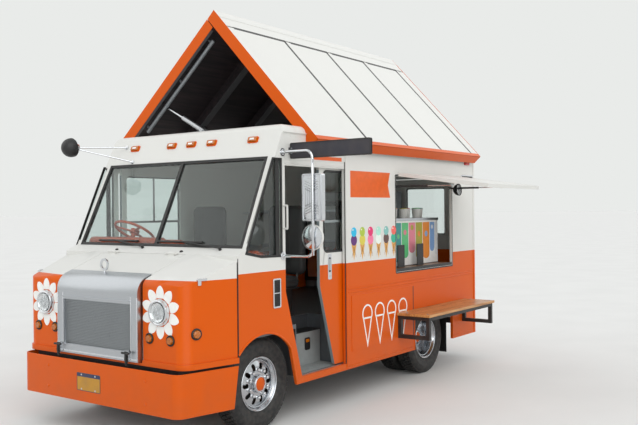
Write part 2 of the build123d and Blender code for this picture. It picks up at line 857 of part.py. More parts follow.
with BuildPart() as chassis_frame:
    for side in (-1, 1):
        inner, outer = side * (rail_y - rail_w / 2), side * (rail_y + rail_w / 2)
        box((rail_rear_x, rail_front_x), (inner, outer), (rail_z, rail_z + rail_h))
        box((rail_rear_x - 5, rail_front_x + 5), (inner - side * 5, side * web_in),
            (rail_z + rail_t, rail_z + rail_h - rail_t), Mode.SUBTRACT)
    for x, z in cross_members:
        box((x - member_half, x + member_half), (-web_in, web_in), (z, z + member_h))
save(chassis_frame, "chassis_frame")

with BuildPart() as front_axle:
    box((-34, 34), (-kingpin_y + 30, kingpin_y - 30), (beam_z - 28, beam_z + 28))
    for side in (-1, 1):
        add(spring(0, side * spring_y, beam_z + 28, 466))
        inner, outer = side * (spring_y - spring_w / 2), side * (spring_y + spring_w / 2)
        box((-45, 45), (inner, outer), (beam_z + 20, beam_z + 50))
    for side in (-1, 1):
        y = side * kingpin_y
        tube((0, y, beam_z - 28), (0, y, beam_z + 28), 34)
        tube((0, y, beam_z - 84), (0, y, beam_z + 84), kingpin_r)
save(front_axle, "front_axle")


def knuckle(side):
    """The steering knuckle: a fork on the kingpin, the wheel's spindle and the steering arm."""
    y = side * kingpin_y
    with BuildPart() as piece:
        for low, high in ((beam_z - 80, beam_z - fork_gap), (beam_z + fork_gap, beam_z + 80)):
            tube((0, y, low), (0, y, high), 36)
            box((-30, 30), (y, y + side * 66), (low, high))
        box((-40, 40), (y + side * 46, y + side * 66), (beam_z - 80, beam_z + 80))
        tube((0, y + side * 50, tyre_r), (0, side * (wheel_mid_y + 62), tyre_r), spindle_r)
        box((-190, -30), (y - side * 20, y + side * 5), (beam_z - 75, beam_z - 55))
        tube((0, y, beam_z - 120), (0, y, beam_z + 120), kingpin_r + fit_gap, Mode.SUBTRACT)
    return piece


for side, word in ((1, "left"), (-1, "right")):
    save(knuckle(side), f"knuckle_{word}")


def tyre_solid(mid_y):
    """One tyre, turned about its axle."""
    half = tyre_w / 2
    shape = (
        # radius, distance from the middle as a share of half the width
        (rim_r, rim_seat), (rim_r + 70, 0.98), (rim_r + 100, 1.0), (tyre_r - 28, 0.92), (tyre_r, 0.70),
    )
    points = [(r, mid_y - half * s) for r, s in shape] + [(r, mid_y + half * s) for r, s in reversed(shape)]
    return outline(*points)


def wheel_plane(x):
    """A sketch plane through an axle: local x is the radius, local y the truck's Y."""
    return Plane(origin=(x, 0, tyre_r), x_dir=(1, 0, 0), z_dir=(0, 0, 1))


def front_wheel(side):
    """Front tyre and rim as two pieces on one body."""
    mid = side * wheel_mid_y
    axle = Axis((0, 0, tyre_r), (0, 1, 0))
    with BuildPart() as tyre:
        with BuildSketch(wheel_plane(0)):
            add(tyre_solid(mid))
        revolve(axis=axle)
    with BuildPart() as rim:
        half = tyre_w / 2 * rim_seat
        with BuildSketch(wheel_plane(0)):
            with BuildLine():
                Polyline(
                    (rim_r, mid - half), (rim_r, mid + half), (rim_r - 10, mid + half),
                    (rim_r - 26, mid + half - 30), (rim_r - 26, mid - half + 30), (rim_r - 10, mid - half),
                    close=True,
                )
            make_face()
        revolve(axis=axle)
        # The disc, a shallow cone with ten hand holes, and the hub
        with BuildSketch(wheel_plane(0)):
            with BuildLine():
                Polyline(
                    (rim_r - 25, mid + side * 44), (150, mid + side * 62), (82, mid + side * 62),
                    (74, mid + side * 92),
                    (0, mid + side * 96), (0, mid + side * 64), (spindle_r + fit_gap, mid + side * 64),
                    (spindle_r + fit_gap, mid - side * 6), (62, mid - side * 6), (64, mid + side * 48),
                    (150, mid + side * 48), (rim_r - 25, mid + side * 30), close=True,
                )
            make_face()
        revolve(axis=axle)
        with BuildSketch(Plane(origin=(0, mid + side * 10, tyre_r), x_dir=(1, 0, 0), z_dir=(0, side, 0))):
            with PolarLocations(148, 10):
                SlotOverall(66, 40)
        extrude(amount=120, mode=Mode.SUBTRACT)
    return tyre, rim


def rear_wheel(side):
    """Twin rear tyres and their rims, bolted back to back on one hub."""
    axle = Axis((-wheelbase, 0, tyre_r), (0, 1, 0))
    outer_mid = side * wheel_mid_y
    inner_mid = side * (wheel_mid_y - tyre_w - twin_gap)
    mid = side * twin_mid
    half = tyre_w / 2 * rim_seat
    hub_r = spindle_r + fit_gap
    with BuildPart() as tyres:
        for m in (outer_mid, inner_mid):
            with BuildSketch(wheel_plane(-wheelbase)):
                add(tyre_solid(m))
            revolve(axis=axle)
    with BuildPart() as rims:
        for m in (outer_mid, inner_mid):
            with BuildSketch(wheel_plane(-wheelbase)):
                with BuildLine():
                    Polyline(
                        (rim_r, m - half), (rim_r, m + half), (rim_r - 10, m + half),
                        (rim_r - 26, m + half - 30), (rim_r - 26, m - half + 30), (rim_r - 10, m - half),
                        close=True,
                    )
                make_face()
            revolve(axis=axle)
        with BuildSketch(wheel_plane(-wheelbase)):
            with BuildLine():
                Polyline(
                    (rim_r - 25, mid + side * 98), (170, mid + side * 12), (92, mid + side * 12),
                    (88, mid + side * 96),
                    (40, mid + side * 110), (0, mid + side * 110), (0, mid + side * 40), (hub_r, mid + side * 40),
                    (hub_r, mid - side * 90), (62, mid - side * 90), (64, mid - side * 12),
                    (170, mid - side * 12), (rim_r - 25, mid - side * 98), (rim_r - 25, mid - side * 86),
                    (178, mid), (rim_r - 25, mid + side * 86), close=True,
                )
            make_face()
        revolve(axis=axle)
        behind = (-wheelbase, mid - side * 100, tyre_r)
        with BuildSketch(Plane(origin=behind, x_dir=(1, 0, 0), z_dir=(0, side, 0))):
            with PolarLocations(140, 8):
                Circle(20)
        extrude(amount=200, mode=Mode.SUBTRACT)
    return tyres, rims


for side, word in ((1, "left"), (-1, "right")):
    tyre, rim = front_wheel(side)
    save(tyre, f"front_tyre_{word}")
    save(rim, f"front_rim_{word}")
    tyres, rims = rear_wheel(side)
    save(tyres, f"rear_tyres_{word}")
    save(rims, f"rear_rims_{word}")

with BuildPart() as rear_axle:
    end = twin_mid + 30
    tube((-wheelbase, -end, tyre_r), (-wheelbase, end, tyre_r), spindle_r)
    tube((-wheelbase, -twin_mid + 110, tyre_r), (-wheelbase, twin_mid - 110, tyre_r), 52)
    with BuildSketch(wheel_plane(-wheelbase)):
        with BuildLine():
            Polyline((0, -190), (70, -150), (150, -50), (150, 50), (70, 150), (0, 190), close=True)
        make_face()
    revolve(axis=Axis((-wheelbase, 0, tyre_r), (0, 1, 0)))
    for side in (-1, 1):
        add(spring(-wheelbase, side * spring_y, tyre_r + 40, 474))
    # Drive shaft up to the gearbox
    tube((-wheelbase + 120, 0, tyre_r), (-wheelbase + 250, 0, tyre_r + 10), 48)
    tube((-wheelbase + 240, 0, tyre_r + 9), (-508, 0, 600), 38)
save(rear_axle, "rear_axle")

with BuildPart() as engine:
    box(engine_x, (-engine_half, engine_half), engine_z)
    for side in (-1, 1):
        box((20, 80), (side * engine_half, side * web_in), (600, 640))
    # Radiator on its own feet over the rails
    box(radiator_x, (-radiator_half, radiator_half), radiator_z)
    for side in (-1, 1):
        box(radiator_x, (side * radiator_half, side * (rail_y + 20)), (rail_z + rail_h, radiator_z[1]))
save(engine, "engine_block")

with BuildPart() as tank_and_exhaust:
    box(tank_x, tank_y, tank_z)
    fillet(tank_and_exhaust.edges().filter_by(Axis.X), radius=tank_r)
    for x in (tank_x[0] + 180, tank_x[1] - 180):
        box((x - 25, x + 25), (tank_y[1] - 2, -rail_y - rail_w / 2), (430, 560))
    # Silencer with its pipes and hanger
    y, z, (front, rear) = silencer_y, silencer_z, silencer_x
    tube((front, y, z), (rear, y, z), silencer_r)
    tube((rear + 10, y, z), (rear - 220, y, z), pipe_r)
    tube((-420, y, z + 70), (front - 10, y, z), pipe_r)
    box(hanger_x, (y - 10, y + 10), (z + 80, rail_z + 30))
    box(hanger_x, (y - 10, web_in), (rail_z + rail_t, rail_z + rail_t + 20))
save(tank_and_exhaust, "tank_and_exhaust")

with BuildPart() as step_bumper:
    low, high = step_bumper_z
    box((step_bumper_x, rear_x), (-step_bumper_half, step_bumper_half), (low, high))
    box((step_bumper_x, step_bumper_x + 12), (-step_bumper_half, step_bumper_half), (low - 60, high))
    for side in (-1, 1):
        across = (side * (rail_y - rail_w / 2), side * (rail_y + rail_w / 2))
        box((rear_x, rail_rear_x), across, (rail_z - 60, rail_z + 60))
        box((rear_x - 40, rear_x), across, (low, rail_z + 60))
save(step_bumper, "rear_step")

with BuildPart() as tail_lamps:
    for side in (-1, 1):
        with BuildSketch(cross_plane(rear_x)):
            y, z, w, h = tail_lamp
            with Locations((side * y, z)):
                RectangleRounded(w, h, 20)
            y, z, r = top_lamp
            with Locations((side * y, z)):
                Circle(r)
        extrude(amount=-tail_out)
        with BuildSketch(side_plane(side * body_half)):
            x, z, w, h = side_lamp
            with Locations((x, z)):
                RectangleRounded(w, h, 12)
        extrude(amount=-side * 22)
save(tail_lamps, "tail_lamps")

# Hatch over the serving window, held open by its struts
hatch_plane = Plane(
    origin=((serve_x[0] + serve_x[1]) / 2, *hatch_pivot), x_dir=(1, 0, 0), z_dir=(0, sin(droop), cos(droop))
)
hatch_half = (serve_x[1] - serve_x[0]) / 2 + hatch_lap
with BuildPart() as hatch:
    with BuildSketch(hatch_plane.offset(-hatch_under)):
        with Locations((0, hatch_start)):
            Rectangle(2 * hatch_half, hatch_depth - hatch_start, align=(Align.CENTER, Align.MIN))
    extrude(amount=hatch_t)
    # Hollow on the underside, between its rim and a middle rib
    with BuildSketch(hatch_plane.offset(-hatch_under)):
        with Locations((0, (hatch_start + hatch_depth) / 2)):
            with GridLocations(hatch_half, 0, 2, 1):
                Rectangle(hatch_half - hatch_rib, hatch_depth - hatch_start - 2 * hatch_rim)
    extrude(amount=hatch_t - hatch_skin, mode=Mode.SUBTRACT)
    for x in hatch_lugs:
        for side in (-1, 1):
            a, b = sorted((x + side * (hatch_lug_half + 1), x + side * hatch_knuckle))
            tube((a, *hatch_pivot), (b, *hatch_pivot), hatch_barrel_r)
            with BuildSketch(hatch_plane.offset(-8)):
                with Locations(((a + b) / 2 - hatch_plane.origin.X, 0)):
                    Rectangle(b - a, 30, align=(Align.CENTER, Align.MIN))
            extrude(amount=16)
            tube((a, *hatch_pivot), (b, *hatch_pivot), hatch_pin_r + fit_gap, Mode.SUBTRACT)
    # Lugs that the struts' rods reach
    for x, jamb in strut_ends:
        lug_x = x + (x - jamb) / abs(x - jamb) * (strut_r + 1)
        with BuildSketch(hatch_plane.offset(-strut_drop - 12)):
            with Locations((lug_x - hatch_plane.origin.X, strut_reach)):
                Rectangle(10, 30)
        extrude(amount=strut_drop + 12 + hatch_t - hatch_under - 8)
save(hatch, "hatch")

droop_along = Vector(0, cos(droop), -sin(droop))
droop_across = Vector(0, sin(droop), cos(droop))
strut_eye = Vector(0, *hatch_pivot) + droop_along * strut_reach - droop_across * strut_drop
strut_start = Vector(0, *strut_foot)
strut_line = (strut_eye - strut_start).normalized()

with BuildPart() as strut_cylinders:
    for x, jamb in strut_ends:
        start = strut_start + Vector(x, 0, 0)
        tube(start, start + strut_line * strut_l, strut_r)
        tube((x - 9, *strut_foot), (x + 9, *strut_foot), strut_r + 2)
        tube(start + strut_line * 30, start + strut_line * (strut_l + 1), strut_rod_r + 0.5, Mode.SUBTRACT)
        tube((x - 40, *strut_foot), (x + 40, *strut_foot), strut_pin_r + fit_gap, Mode.SUBTRACT)
save(strut_cylinders, "strut_cylinders")

with BuildPart() as strut_rods:
    for x, jamb in strut_ends:
        start = strut_start + Vector(x, 0, 0)
        end = strut_eye + Vector(x, 0, 0)
        tube(start + strut_line * (strut_l - 80), end, strut_rod_r)
        tube(end - Vector(5, 0, 0), end + Vector(5, 0, 0), 11)
save(strut_rods, "strut_rods")

# Gabled roof: each leaf a framed panel, its rafters between pockets on the underside
near_slope = degrees(atan2(ridge[1] - near_eave[1], near_eave[0] - ridge[0]))
near_run = hypot(near_eave[0] - ridge[0], ridge[1] - near_eave[1])


def slope_vectors(side, slope):
    """Unit vectors up a leaf's slope and out of its face; side is +1 for the near leaf."""
    a = radians(slope)
    return Vector(0, -side * cos(a), sin(a)), Vector(0, side * sin(a), cos(a))


far_up, far_out = slope_vectors(-1, far_slope)
near_up, near_out = slope_vectors(1, near_slope)
pivot = Vector(0, *leaf_pivot)
pivot_from_eave = pivot - Vector(0, *far_eave)
pivot_along = pivot_from_eave.dot(far_up)
pivot_under = -pivot_from_eave.dot(far_out)
near_under = Vector(0, *ridge) - near_out * leaf_t
swing = abs((pivot - near_under).dot(near_out)) - ridge_gap
far_run = pivot_along + sqrt(swing ** 2 - pivot_under ** 2)
leaf_length = leaf_x[1] - leaf_x[0]
bay = (leaf_length - 2 * leaf_edge + rafter_w) / leaf_bays
rafter_xs = [leaf_x[0] + leaf_edge - rafter_w / 2 + bay * i for i in range(1, leaf_bays)]


def roof_leaf(eave, side, slope, run):
    """A leaf from its eave up its slope, as a closed panel with its pockets cut."""
    up, out = slope_vectors(side, slope)
    middle = Vector(sum(leaf_x) / 2, *eave) + up * (run / 2)
    face = Plane(origin=middle, x_dir=(1, 0, 0), z_dir=out)
    with BuildPart() as leaf:
        with BuildSketch(face):
            Rectangle(leaf_length, run)
        extrude(amount=-leaf_t)
        with BuildSketch(face.offset(-leaf_t)):
            with GridLocations(bay, 0, leaf_bays, 1):
                Rectangle(bay - rafter_w, run - 2 * leaf_edge)
        extrude(amount=leaf_t - leaf_skin, mode=Mode.SUBTRACT)
    return leaf.part


with BuildPart() as near_leaf:
    add(roof_leaf(near_eave, 1, near_slope, near_run))
    # Notched where it lies over the van's roof edge
    add(body_form(-fit_gap), mode=Mode.SUBTRACT)
save(near_leaf, "roof_leaf_near")

lug_base = Plane(origin=pivot, x_dir=(1, 0, 0), z_dir=far_out)
with BuildPart() as far_leaf:
    add(roof_leaf(far_eave, -1, far_slope, far_run))
    for x in rafter_xs:
        for end in (-1, 1):
            low, high = sorted((x + end * (lug_w + 1), x + end * 2 * lug_w))
            with BuildSketch(lug_base):
                with Locations(((low + high) / 2, 0)):
                    Rectangle(high - low, 2 * lug_r)
            extrude(amount=pivot_under - leaf_t + 1)
            tube((low, *leaf_pivot), (high, *leaf_pivot), lug_r)
            tube((low, *leaf_pivot), (high, *leaf_pivot), pin_r + fit_gap, Mode.SUBTRACT)
    # Lug beside the actuator's eye, hung from the front edge board
    eye = Vector(actuator_x, *actuator_eye)
    eye_under = -(eye - Vector(0, *far_eave)).dot(far_out)
    with BuildSketch(Plane(origin=eye + Vector(rod_r + 6, 0, 0), x_dir=(1, 0, 0), z_dir=far_out)):
        Rectangle(10, 36)
    extrude(amount=eye_under - leaf_skin)
    tube(eye + Vector(rod_r + 1, 0, 0), eye + Vector(rod_r + 11, 0, 0), eye_r)
save(far_leaf, "roof_leaf_far")

half = post_w / 2
with BuildPart() as roof_frame:
    for y in (leaf_pivot[0], roof_post_y):
        box((leaf_x[0] + 60, leaf_x[1] - 150), (y - half, y + half), (roof_z, rail_top))
    for x in rafter_xs:
        box((x - lug_w, x + lug_w), (leaf_pivot[0] - 18, leaf_pivot[0] + 18), (rail_top, leaf_pivot[1]))
        tube((x - lug_w, *leaf_pivot), (x + lug_w, *leaf_pivot), lug_r + 2)
        tube((x - 2 * lug_w, *leaf_pivot), (x + 2 * lug_w, *leaf_pivot), pin_r)
        # Post under the near leaf, its head cut to the slope
        box((x - half, x + half), (roof_post_y - half, roof_post_y + half), (rail_top, ridge[1]))
    with BuildSketch(cross_plane(leaf_x[0])):
        foot = Vector(0, *near_eave) - near_out * leaf_t
        head = foot + near_up * near_run
        add(outline((foot.Y, foot.Z), (head.Y, head.Z), (head.Y, head.Z + 900), (foot.Y, foot.Z + 1900)))
    extrude(amount=leaf_length, mode=Mode.SUBTRACT)
    # Foot of the actuator
    for end in (-1, 1):
        low, high = sorted((actuator_x + end * 20, actuator_x + end * 32))
        box((low, high), (actuator_foot[0] - 22, actuator_foot[0] + 22), (roof_z, actuator_foot[1]))
        tube((low, *actuator_foot), (high, *actuator_foot), 22)
    box((actuator_x - 60, actuator_x + 60), (actuator_foot[0] - 60, actuator_foot[0] + 60),
        (roof_z, roof_z + 10))
    tube((actuator_x - 32, *actuator_foot), (actuator_x + 32, *actuator_foot), pin_r)
save(roof_frame, "roof_frame")

foot = Vector(actuator_x, *actuator_foot)
thrust = (eye - foot).normalized()
with BuildPart() as actuator_cylinder:
    tube(foot, foot + thrust * cylinder_l, cylinder_r)
    tube(foot - Vector(19, 0, 0), foot + Vector(19, 0, 0), 20)
    for side in (-1, 1):
        box((actuator_x + side * 19, actuator_x + side * 60), (foot.Y - 60, foot.Y + 60),
            (foot.Z - 60, foot.Z + 60), Mode.SUBTRACT)
    tube(foot + thrust * 60, foot + thrust * (cylinder_l + 1), rod_r + 0.5, Mode.SUBTRACT)
    tube(foot - Vector(40, 0, 0), foot + Vector(40, 0, 0), pin_r + fit_gap, Mode.SUBTRACT)
save(actuator_cylinder, "actuator_cylinder")

with BuildPart() as actuator_rod:
    tube(foot + thrust * (cylinder_l - 70), eye, rod_r)
    tube(eye - Vector(rod_r, 0, 0), eye + Vector(rod_r, 0, 0), eye_r)
save(actuator_rod, "actuator_rod")

# Blade sign over the cab door, facing forward
with BuildPart() as blade_sign:
    box((sign_x - sign_t / 2, sign_x + sign_t / 2), sign_y, sign_z)
    middle = sum(sign_z) / 2
    box((sign_x - 14, sign_x + 14), (body_half, sign_y[0] + 40), (middle - 30, middle + 30))
save(blade_sign, "blade_sign")


def on_header(y, z, lift=0):
    """A point on the slanted header above the glass, lifted off it."""
    x = glass_head[0] - (z - glass_head[1]) / tan(slant)
    return Vector(x, y, z) + glass_plane.z_dir * lift


with BuildPart() as mirrors:
    with BuildLine() as arm:
        FilletPolyline(
            (mirror_x, body_half, mirror_arm_z[1]), (mirror_x, mirror_arm_y, mirror_arm_z[1]),
            (mirror_x, mirror_arm_y, mirror_arm_z[0]), (mirror_x, body_half, mirror_arm_z[0]), radius=arm_bend,
        )
    with BuildSketch(Plane(origin=(mirror_x, body_half, mirror_arm_z[1]), z_dir=(0, 1, 0))):
        Circle(arm_r)
    sweep(path=arm.wires()[0])
    with BuildSketch(cross_plane(mirror_x - 30)):
        (left, right), (low, high) = mirror_head
        with Locations(((left + right) / 2, (low + high) / 2)):
            RectangleRounded(right - left, high - low, 18)
    extrude(amount=mirror_t)
    y, z, r = spot_mirror
    tube((mirror_x - 26, y, z), (mirror_x + 2, y, z), r)
    for fy, fz in far_mirror_feet:
        tube(on_header(fy, fz), on_header(fy, fz, 14), 20)
        tube(on_header(fy, fz, 12), far_mirror, 8)
    with Locations(far_mirror):
        Sphere(far_mirror_r)
save(mirrors, "mirrors")

cowl_down = Vector(seam_x - glass_foot[0], 0, cowl_z - glass_foot[1]).normalized()
cowl_out = Vector(-cowl_down.Z, 0, cowl_down.X)
with BuildPart() as wipers:
    for y, tip, heel, joint in wipers_at:
        with BuildSketch(glass_plane.offset(-6 + fit_gap)):
            with Locations(((tip + heel) / 2, wiper_lift)):
                Rectangle(heel - tip, wiper_w)
        extrude(amount=16)
        seat = Vector(glass_foot[0], y, glass_foot[1]) + cowl_down * (wiper_spindle_x - glass_foot[0])
        tube(seat, seat + cowl_out * 26, 14)
        tube(seat + cowl_out * 18, (glass_plane * Location((joint, wiper_lift, 14))).position, 7)
save(wipers, "wipers")

with BuildPart() as dash:
    with BuildSketch(side_plane(inner_half)):
        add(outline(
            (bulkhead_x, 1380), (bulkhead_x, bulkhead_z - 10), (120, 1540), (-40, 1470), (-40, 1330),
            (60, 1300),
        ))
    extrude(amount=2 * inner_half)
    box((-60, 40), (-900, -420), (1440, 1560))
    lean = radians(wheel_lean)
    wheel_plane_tilted = Plane(origin=wheel_at, x_dir=(0, 1, 0), z_dir=(-sin(lean), 0, cos(lean)))
    with Locations(wheel_plane_tilted):
        Torus(wheel_r, 13)
        Cylinder(45, 40)
        with PolarLocations(0, 3, start_angle=90):
            with Locations((wheel_r / 2, 0, 0)):
                Box(wheel_r, 26, 12)
    column = Vector(*wheel_at) - wheel_plane_tilted.z_dir * 250
    tube(wheel_at, column, 22)
save(dash, "dash")

with BuildPart() as seats:
    for y in seat_ys:
        # Base box, cushion and back rest
        box((seat_x[0] + 60, seat_x[1] - 40), (y - 170, y + 170), (floor_top, seat_z[0]))
        box(seat_x, (y - seat_w / 2, y + seat_w / 2), seat_z)
        with BuildSketch(cross_plane(seat_x[0] - 100)):
            with Locations((y, seat_z[1] - 20 + back_h / 2)):
                RectangleRounded(seat_w, back_h, 90)
        extrude(amount=back_t)
save(seats, "seats")

with BuildPart() as serving_counter:
    # The board and, a step lower, the ledge that runs out through the window
    box(serve_x, (counter_y[0], ledge_y), (counter_z, counter_z + counter_t))
    box(serve_x, (ledge_y, counter_y[1]), (counter_z, ledge_z))
save(serving_counter, "serving_counter")
with BuildPart() as serving_cabinet:
    box((serve_x[0] + 20, serve_x[1] - 20), (counter_y[0] + 20, inner_half - 80), (floor_top, counter_z))
    # Splash panel standing behind the counter
    box(serve_x, (counter_y[0] - splash_t, counter_y[0]), (floor_top, counter_z + splash_h))
save(serving_cabinet, "serving_cabinet")
with BuildPart() as menu_stands:
    for x in menu_xs:
        box((x - menu_half, x + menu_half), (menu_y - 8, menu_y), (ledge_z, ledge_z + menu_h))
        box((x - 50, x + 50), (menu_y - 70, menu_y), (ledge_z, ledge_z + 8))
save(menu_stands, "menu_stands")

table_under = table_z - table_t
with BuildPart() as table_top:
    box(table_x, table_y, (table_under, table_z))
save(table_top, "table_top")
with BuildPart() as table_frame:
    for x in (table_x[0] + 40, table_x[1] - 50):
        wall_y = body_half + (panel_out if x > access_x[0] else 0)
        front_y = table_y[1] - 20
        box((x - 20, x + 20), (wall_y, front_y), (520, table_under))
        box((x - 25, x + 25), (wall_y + table_bar, front_y - table_bar), (560, table_under - table_bar),
            Mode.SUBTRACT)
    box((table_x[0] + 20, table_x[1] - 30), (front_y - table_bar, front_y),
        (table_under - table_bar, table_under))
save(table_frame, "table_frame")

# Lid fittings: the ring ornament and the rubber latches
with BuildPart() as lid_fittings:
    seat = Vector(*ornament)
    tube(seat, seat + Vector(18, 0, 45).normalized() * 6, 14)
    tube(seat + Vector(2, 0, 3), (seat.X, seat.Y, ornament_z - 44), 7)
    with Locations(Plane(origin=(seat.X, seat.Y, ornament_z), z_dir=(1, 0, 0))):
        Cylinder(ornament_r[0], 12)
        Cylinder(ornament_r[1], 14, mode=Mode.SUBTRACT)
    for y in latch_ys:
        box((grille_face_x, grille_face_x + 18), (y - 22, y + 22), latch_z)
save(lid_fittings, "lid_fittings")
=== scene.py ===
"""Finish, trim and stage for a walk-in van fitted out as an ice cream truck.

Metres. Places are given from the ground point under the front axle's middle, X forward, Y to the
truck's left and Z up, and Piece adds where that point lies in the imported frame.
"""

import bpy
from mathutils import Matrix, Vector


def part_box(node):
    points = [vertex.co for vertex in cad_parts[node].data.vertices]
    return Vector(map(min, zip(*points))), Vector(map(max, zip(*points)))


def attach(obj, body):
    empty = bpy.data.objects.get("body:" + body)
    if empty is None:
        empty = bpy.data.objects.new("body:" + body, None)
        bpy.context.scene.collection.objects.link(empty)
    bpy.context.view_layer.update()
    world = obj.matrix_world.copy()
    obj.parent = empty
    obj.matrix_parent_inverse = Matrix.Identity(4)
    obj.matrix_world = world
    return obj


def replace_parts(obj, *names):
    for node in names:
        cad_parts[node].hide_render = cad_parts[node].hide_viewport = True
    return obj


bl_info = {
    "name": "Ice Cream Truck Dressing",
    "version": (1, 0, 0),
    "blender": (4, 5, 0),
    "location": "View3D > Sidebar > Truck",
    "description": "Finishes, trim, glass, wheels and roof cladding for a gabled ice cream truck",
    "category": "Object",
}

from math import atan2, cos, hypot, pi, radians, sin

import bmesh
import bpy
from bpy.props import FloatProperty, FloatVectorProperty, PointerProperty
from bpy.types import Operator, Panel, PropertyGroup
from mathutils import Matrix, Vector

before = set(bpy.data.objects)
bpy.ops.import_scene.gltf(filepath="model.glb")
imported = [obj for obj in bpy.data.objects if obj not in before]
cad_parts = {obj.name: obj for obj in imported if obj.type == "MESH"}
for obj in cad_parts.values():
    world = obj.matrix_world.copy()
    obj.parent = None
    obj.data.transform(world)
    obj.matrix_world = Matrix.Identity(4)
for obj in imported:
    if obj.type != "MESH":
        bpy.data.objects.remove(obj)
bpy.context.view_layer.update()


def middle(node):
    """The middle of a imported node's box."""
    low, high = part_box(node)
    return (low + high) / 2


axle = middle("front_axle")
ORIGIN = Vector((axle.x, axle.y, 0))


def span(node):
    """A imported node's lowest and highest corner, from the front axle's ground point."""
    low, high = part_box(node)
    return low - ORIGIN, high - ORIGIN


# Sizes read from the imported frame
BODY_HALF = span("roof_panel")[1].y
REAR_X = span("roof_panel")[0].x
TYRE_LOW, TYRE_HIGH = span("front_tyre_left")
TYRE_R = (TYRE_HIGH.z - TYRE_LOW.z) / 2
TYRE_W = TYRE_HIGH.y - TYRE_LOW.y
FRONT_WHEEL_Y = (TYRE_LOW.y + TYRE_HIGH.y) / 2
REAR_AXLE_X = middle("rear_tyres_left").x - ORIGIN.x
REAR_OUTER_Y = span("rear_tyres_left")[1].y - TYRE_W / 2
REAR_INNER_Y = span("rear_tyres_left")[0].y + TYRE_W / 2
GRILLE_X = span("grille_surround")[1].x
BUMPER_X = span("front_bumper")[1].x
# The nose: its front face, how much it widens per metre backwards, its half width in front and its corners
NOSE_X = 0.9
NOSE_TAPER = 0.2323
NOSE_HALF = 0.985
NOSE_CORNER_Y, NOSE_CORNER_R = 0.8975, 0.11
LAMP_Y = 0.73
LAMP_Z = 1.094
# The roof leaves' ends along the truck, then ridge and eaves as places across and above it
LEAF_X = (span("roof_leaf_near")[0].x, span("roof_leaf_near")[1].x)
RIDGE = (-0.02, 3.862)
NEAR_EAVE = (1.232, 2.525)
FAR_EAVE = (-1.385, 2.655)
FAR_SLOPE = radians(41.2)
# The windshield's foot, and how far it runs back and up from there
GLASS_FOOT = (0.279, 1.576)
GLASS_RUN = (-0.368, 0.78)
# The serving window's opening
SERVE_X = (-3.42, -2.118)
SERVE_Z = (1.22, 2.242)


def linear(code):
    """An sRGB hex colour as linear red, green, blue and alpha."""
    channels = [int(code[i:i + 2], 16) / 255 for i in (1, 3, 5)]
    return tuple(c / 12.92 if c <= 0.04045 else ((c + 0.055) / 1.055) ** 2.4 for c in channels) + (1.0,)


class TruckSizes(PropertyGroup):
    """Sizes that a user would change."""
    belt: FloatProperty(
        name="Belt line", description="Height where the white paint meets the orange",
        default=1.372, min=0.9, max=1.8, unit="LENGTH")
    nose_belt: FloatProperty(
        name="Nose belt line", description="Height of the paint line on the nose",
        default=1.342, min=1.0, max=1.6, unit="LENGTH")
    edge: FloatProperty(
        name="Panel edge", description="Radius on the edges of the sheet panels",
        default=0.004, min=0.0, max=0.02, unit="LENGTH")
    joint: FloatProperty(
        name="Roof joint", description="Width of the dark joints between the roof's cover sheets",
        default=0.034, min=0.004, max=0.05, unit="LENGTH")
    mesh: FloatProperty(
        name="Screen pitch", description="Distance between the wires of the radiator screen",
        default=0.013, min=0.006, max=0.04, unit="LENGTH")


class TruckColours(PropertyGroup):
    """Colours that a user would change."""
    orange: FloatVectorProperty(
        name="Body orange", description="Enamel below the belt line", subtype="COLOR", size=4,
        default=linear("#da5900"), min=0.0, max=1.0)
    white: FloatVectorProperty(
        name="Body white", description="Enamel above the belt line", subtype="COLOR", size=4,
        default=linear("#dfdfda"), min=0.0, max=1.0)
    floor: FloatVectorProperty(
        name="Studio floor", description="The pale floor under the truck", subtype="COLOR", size=4,
        default=linear("#e6e6e3"), min=0.0, max=1.0)


# Rounding on the edges of small fittings, and of trim along the panels
FITTING_EDGE, TRIM_EDGE = 0.001, 0.0015
# Distance between the prism ribs inside a moulded lens
LENS_RIB = 0.006
# Waves a metre that a wave texture draws at a scale of 1
WAVES = 3.1
# Inputs and outputs of a colour mix, which share their names
MIX_A, MIX_B, MIX_OUT = 6, 7, 2
COLOUR_MIX = {"data_type": "RGBA"}


def node(tree, kind, fields=None, inputs=None):
    """Adds a shader node, sets its fields, and sets or links each of its inputs."""
    made = tree.nodes.new("ShaderNode" + kind)
    for key, value in (fields or {}).items():
        setattr(made, key, value)
    for key, value in (inputs or {}).items():
        if isinstance(value, bpy.types.NodeSocket):
            tree.links.new(value, made.inputs[key])
        else:
            made.inputs[key].default_value = value
    return made


def material(name, colour, metallic=0.0, roughness=0.5, **more):
    """A new material and its shader. Further inputs go by socket name, with _ for a space."""
    made = bpy.data.materials.new(name)
    made.use_nodes = True
    shader = made.node_tree.nodes["Principled BSDF"]
    values = {"Base Color": colour, "Metallic": metallic, "Roughness": roughness}
    values.update({key.replace("_", " "): value for key, value in more.items()})
    for key, value in values.items():
        shader.inputs[key].default_value = value
    made.diffuse_color = colour
    return made.node_tree, shader


def noise(tree, place, scale, detail, **more):
    """Noise between 0 and 1 at a place, with so many cells a metre."""
    inputs = {"Vector": place, "Scale": scale, "Detail": detail, **more}
    return node(tree, "TexNoise", None, inputs).outputs[0]


def spread(tree, value, low=0.0, high=1.0, start=0.0, end=1.0):
    """A value mapped from low and high to start and end, and held between them."""
    return node(tree, "MapRange", None, {
        "Value": value, "From Min": low, "From Max": high, "To Min": start, "To Max": end}).outputs[0]


def blend(tree, share, a, b):
    """One colour or value drawn towards another by a share."""
    return node(tree, "Mix", COLOUR_MIX, {0: share, MIX_A: a, MIX_B: b}).outputs[MIX_OUT]


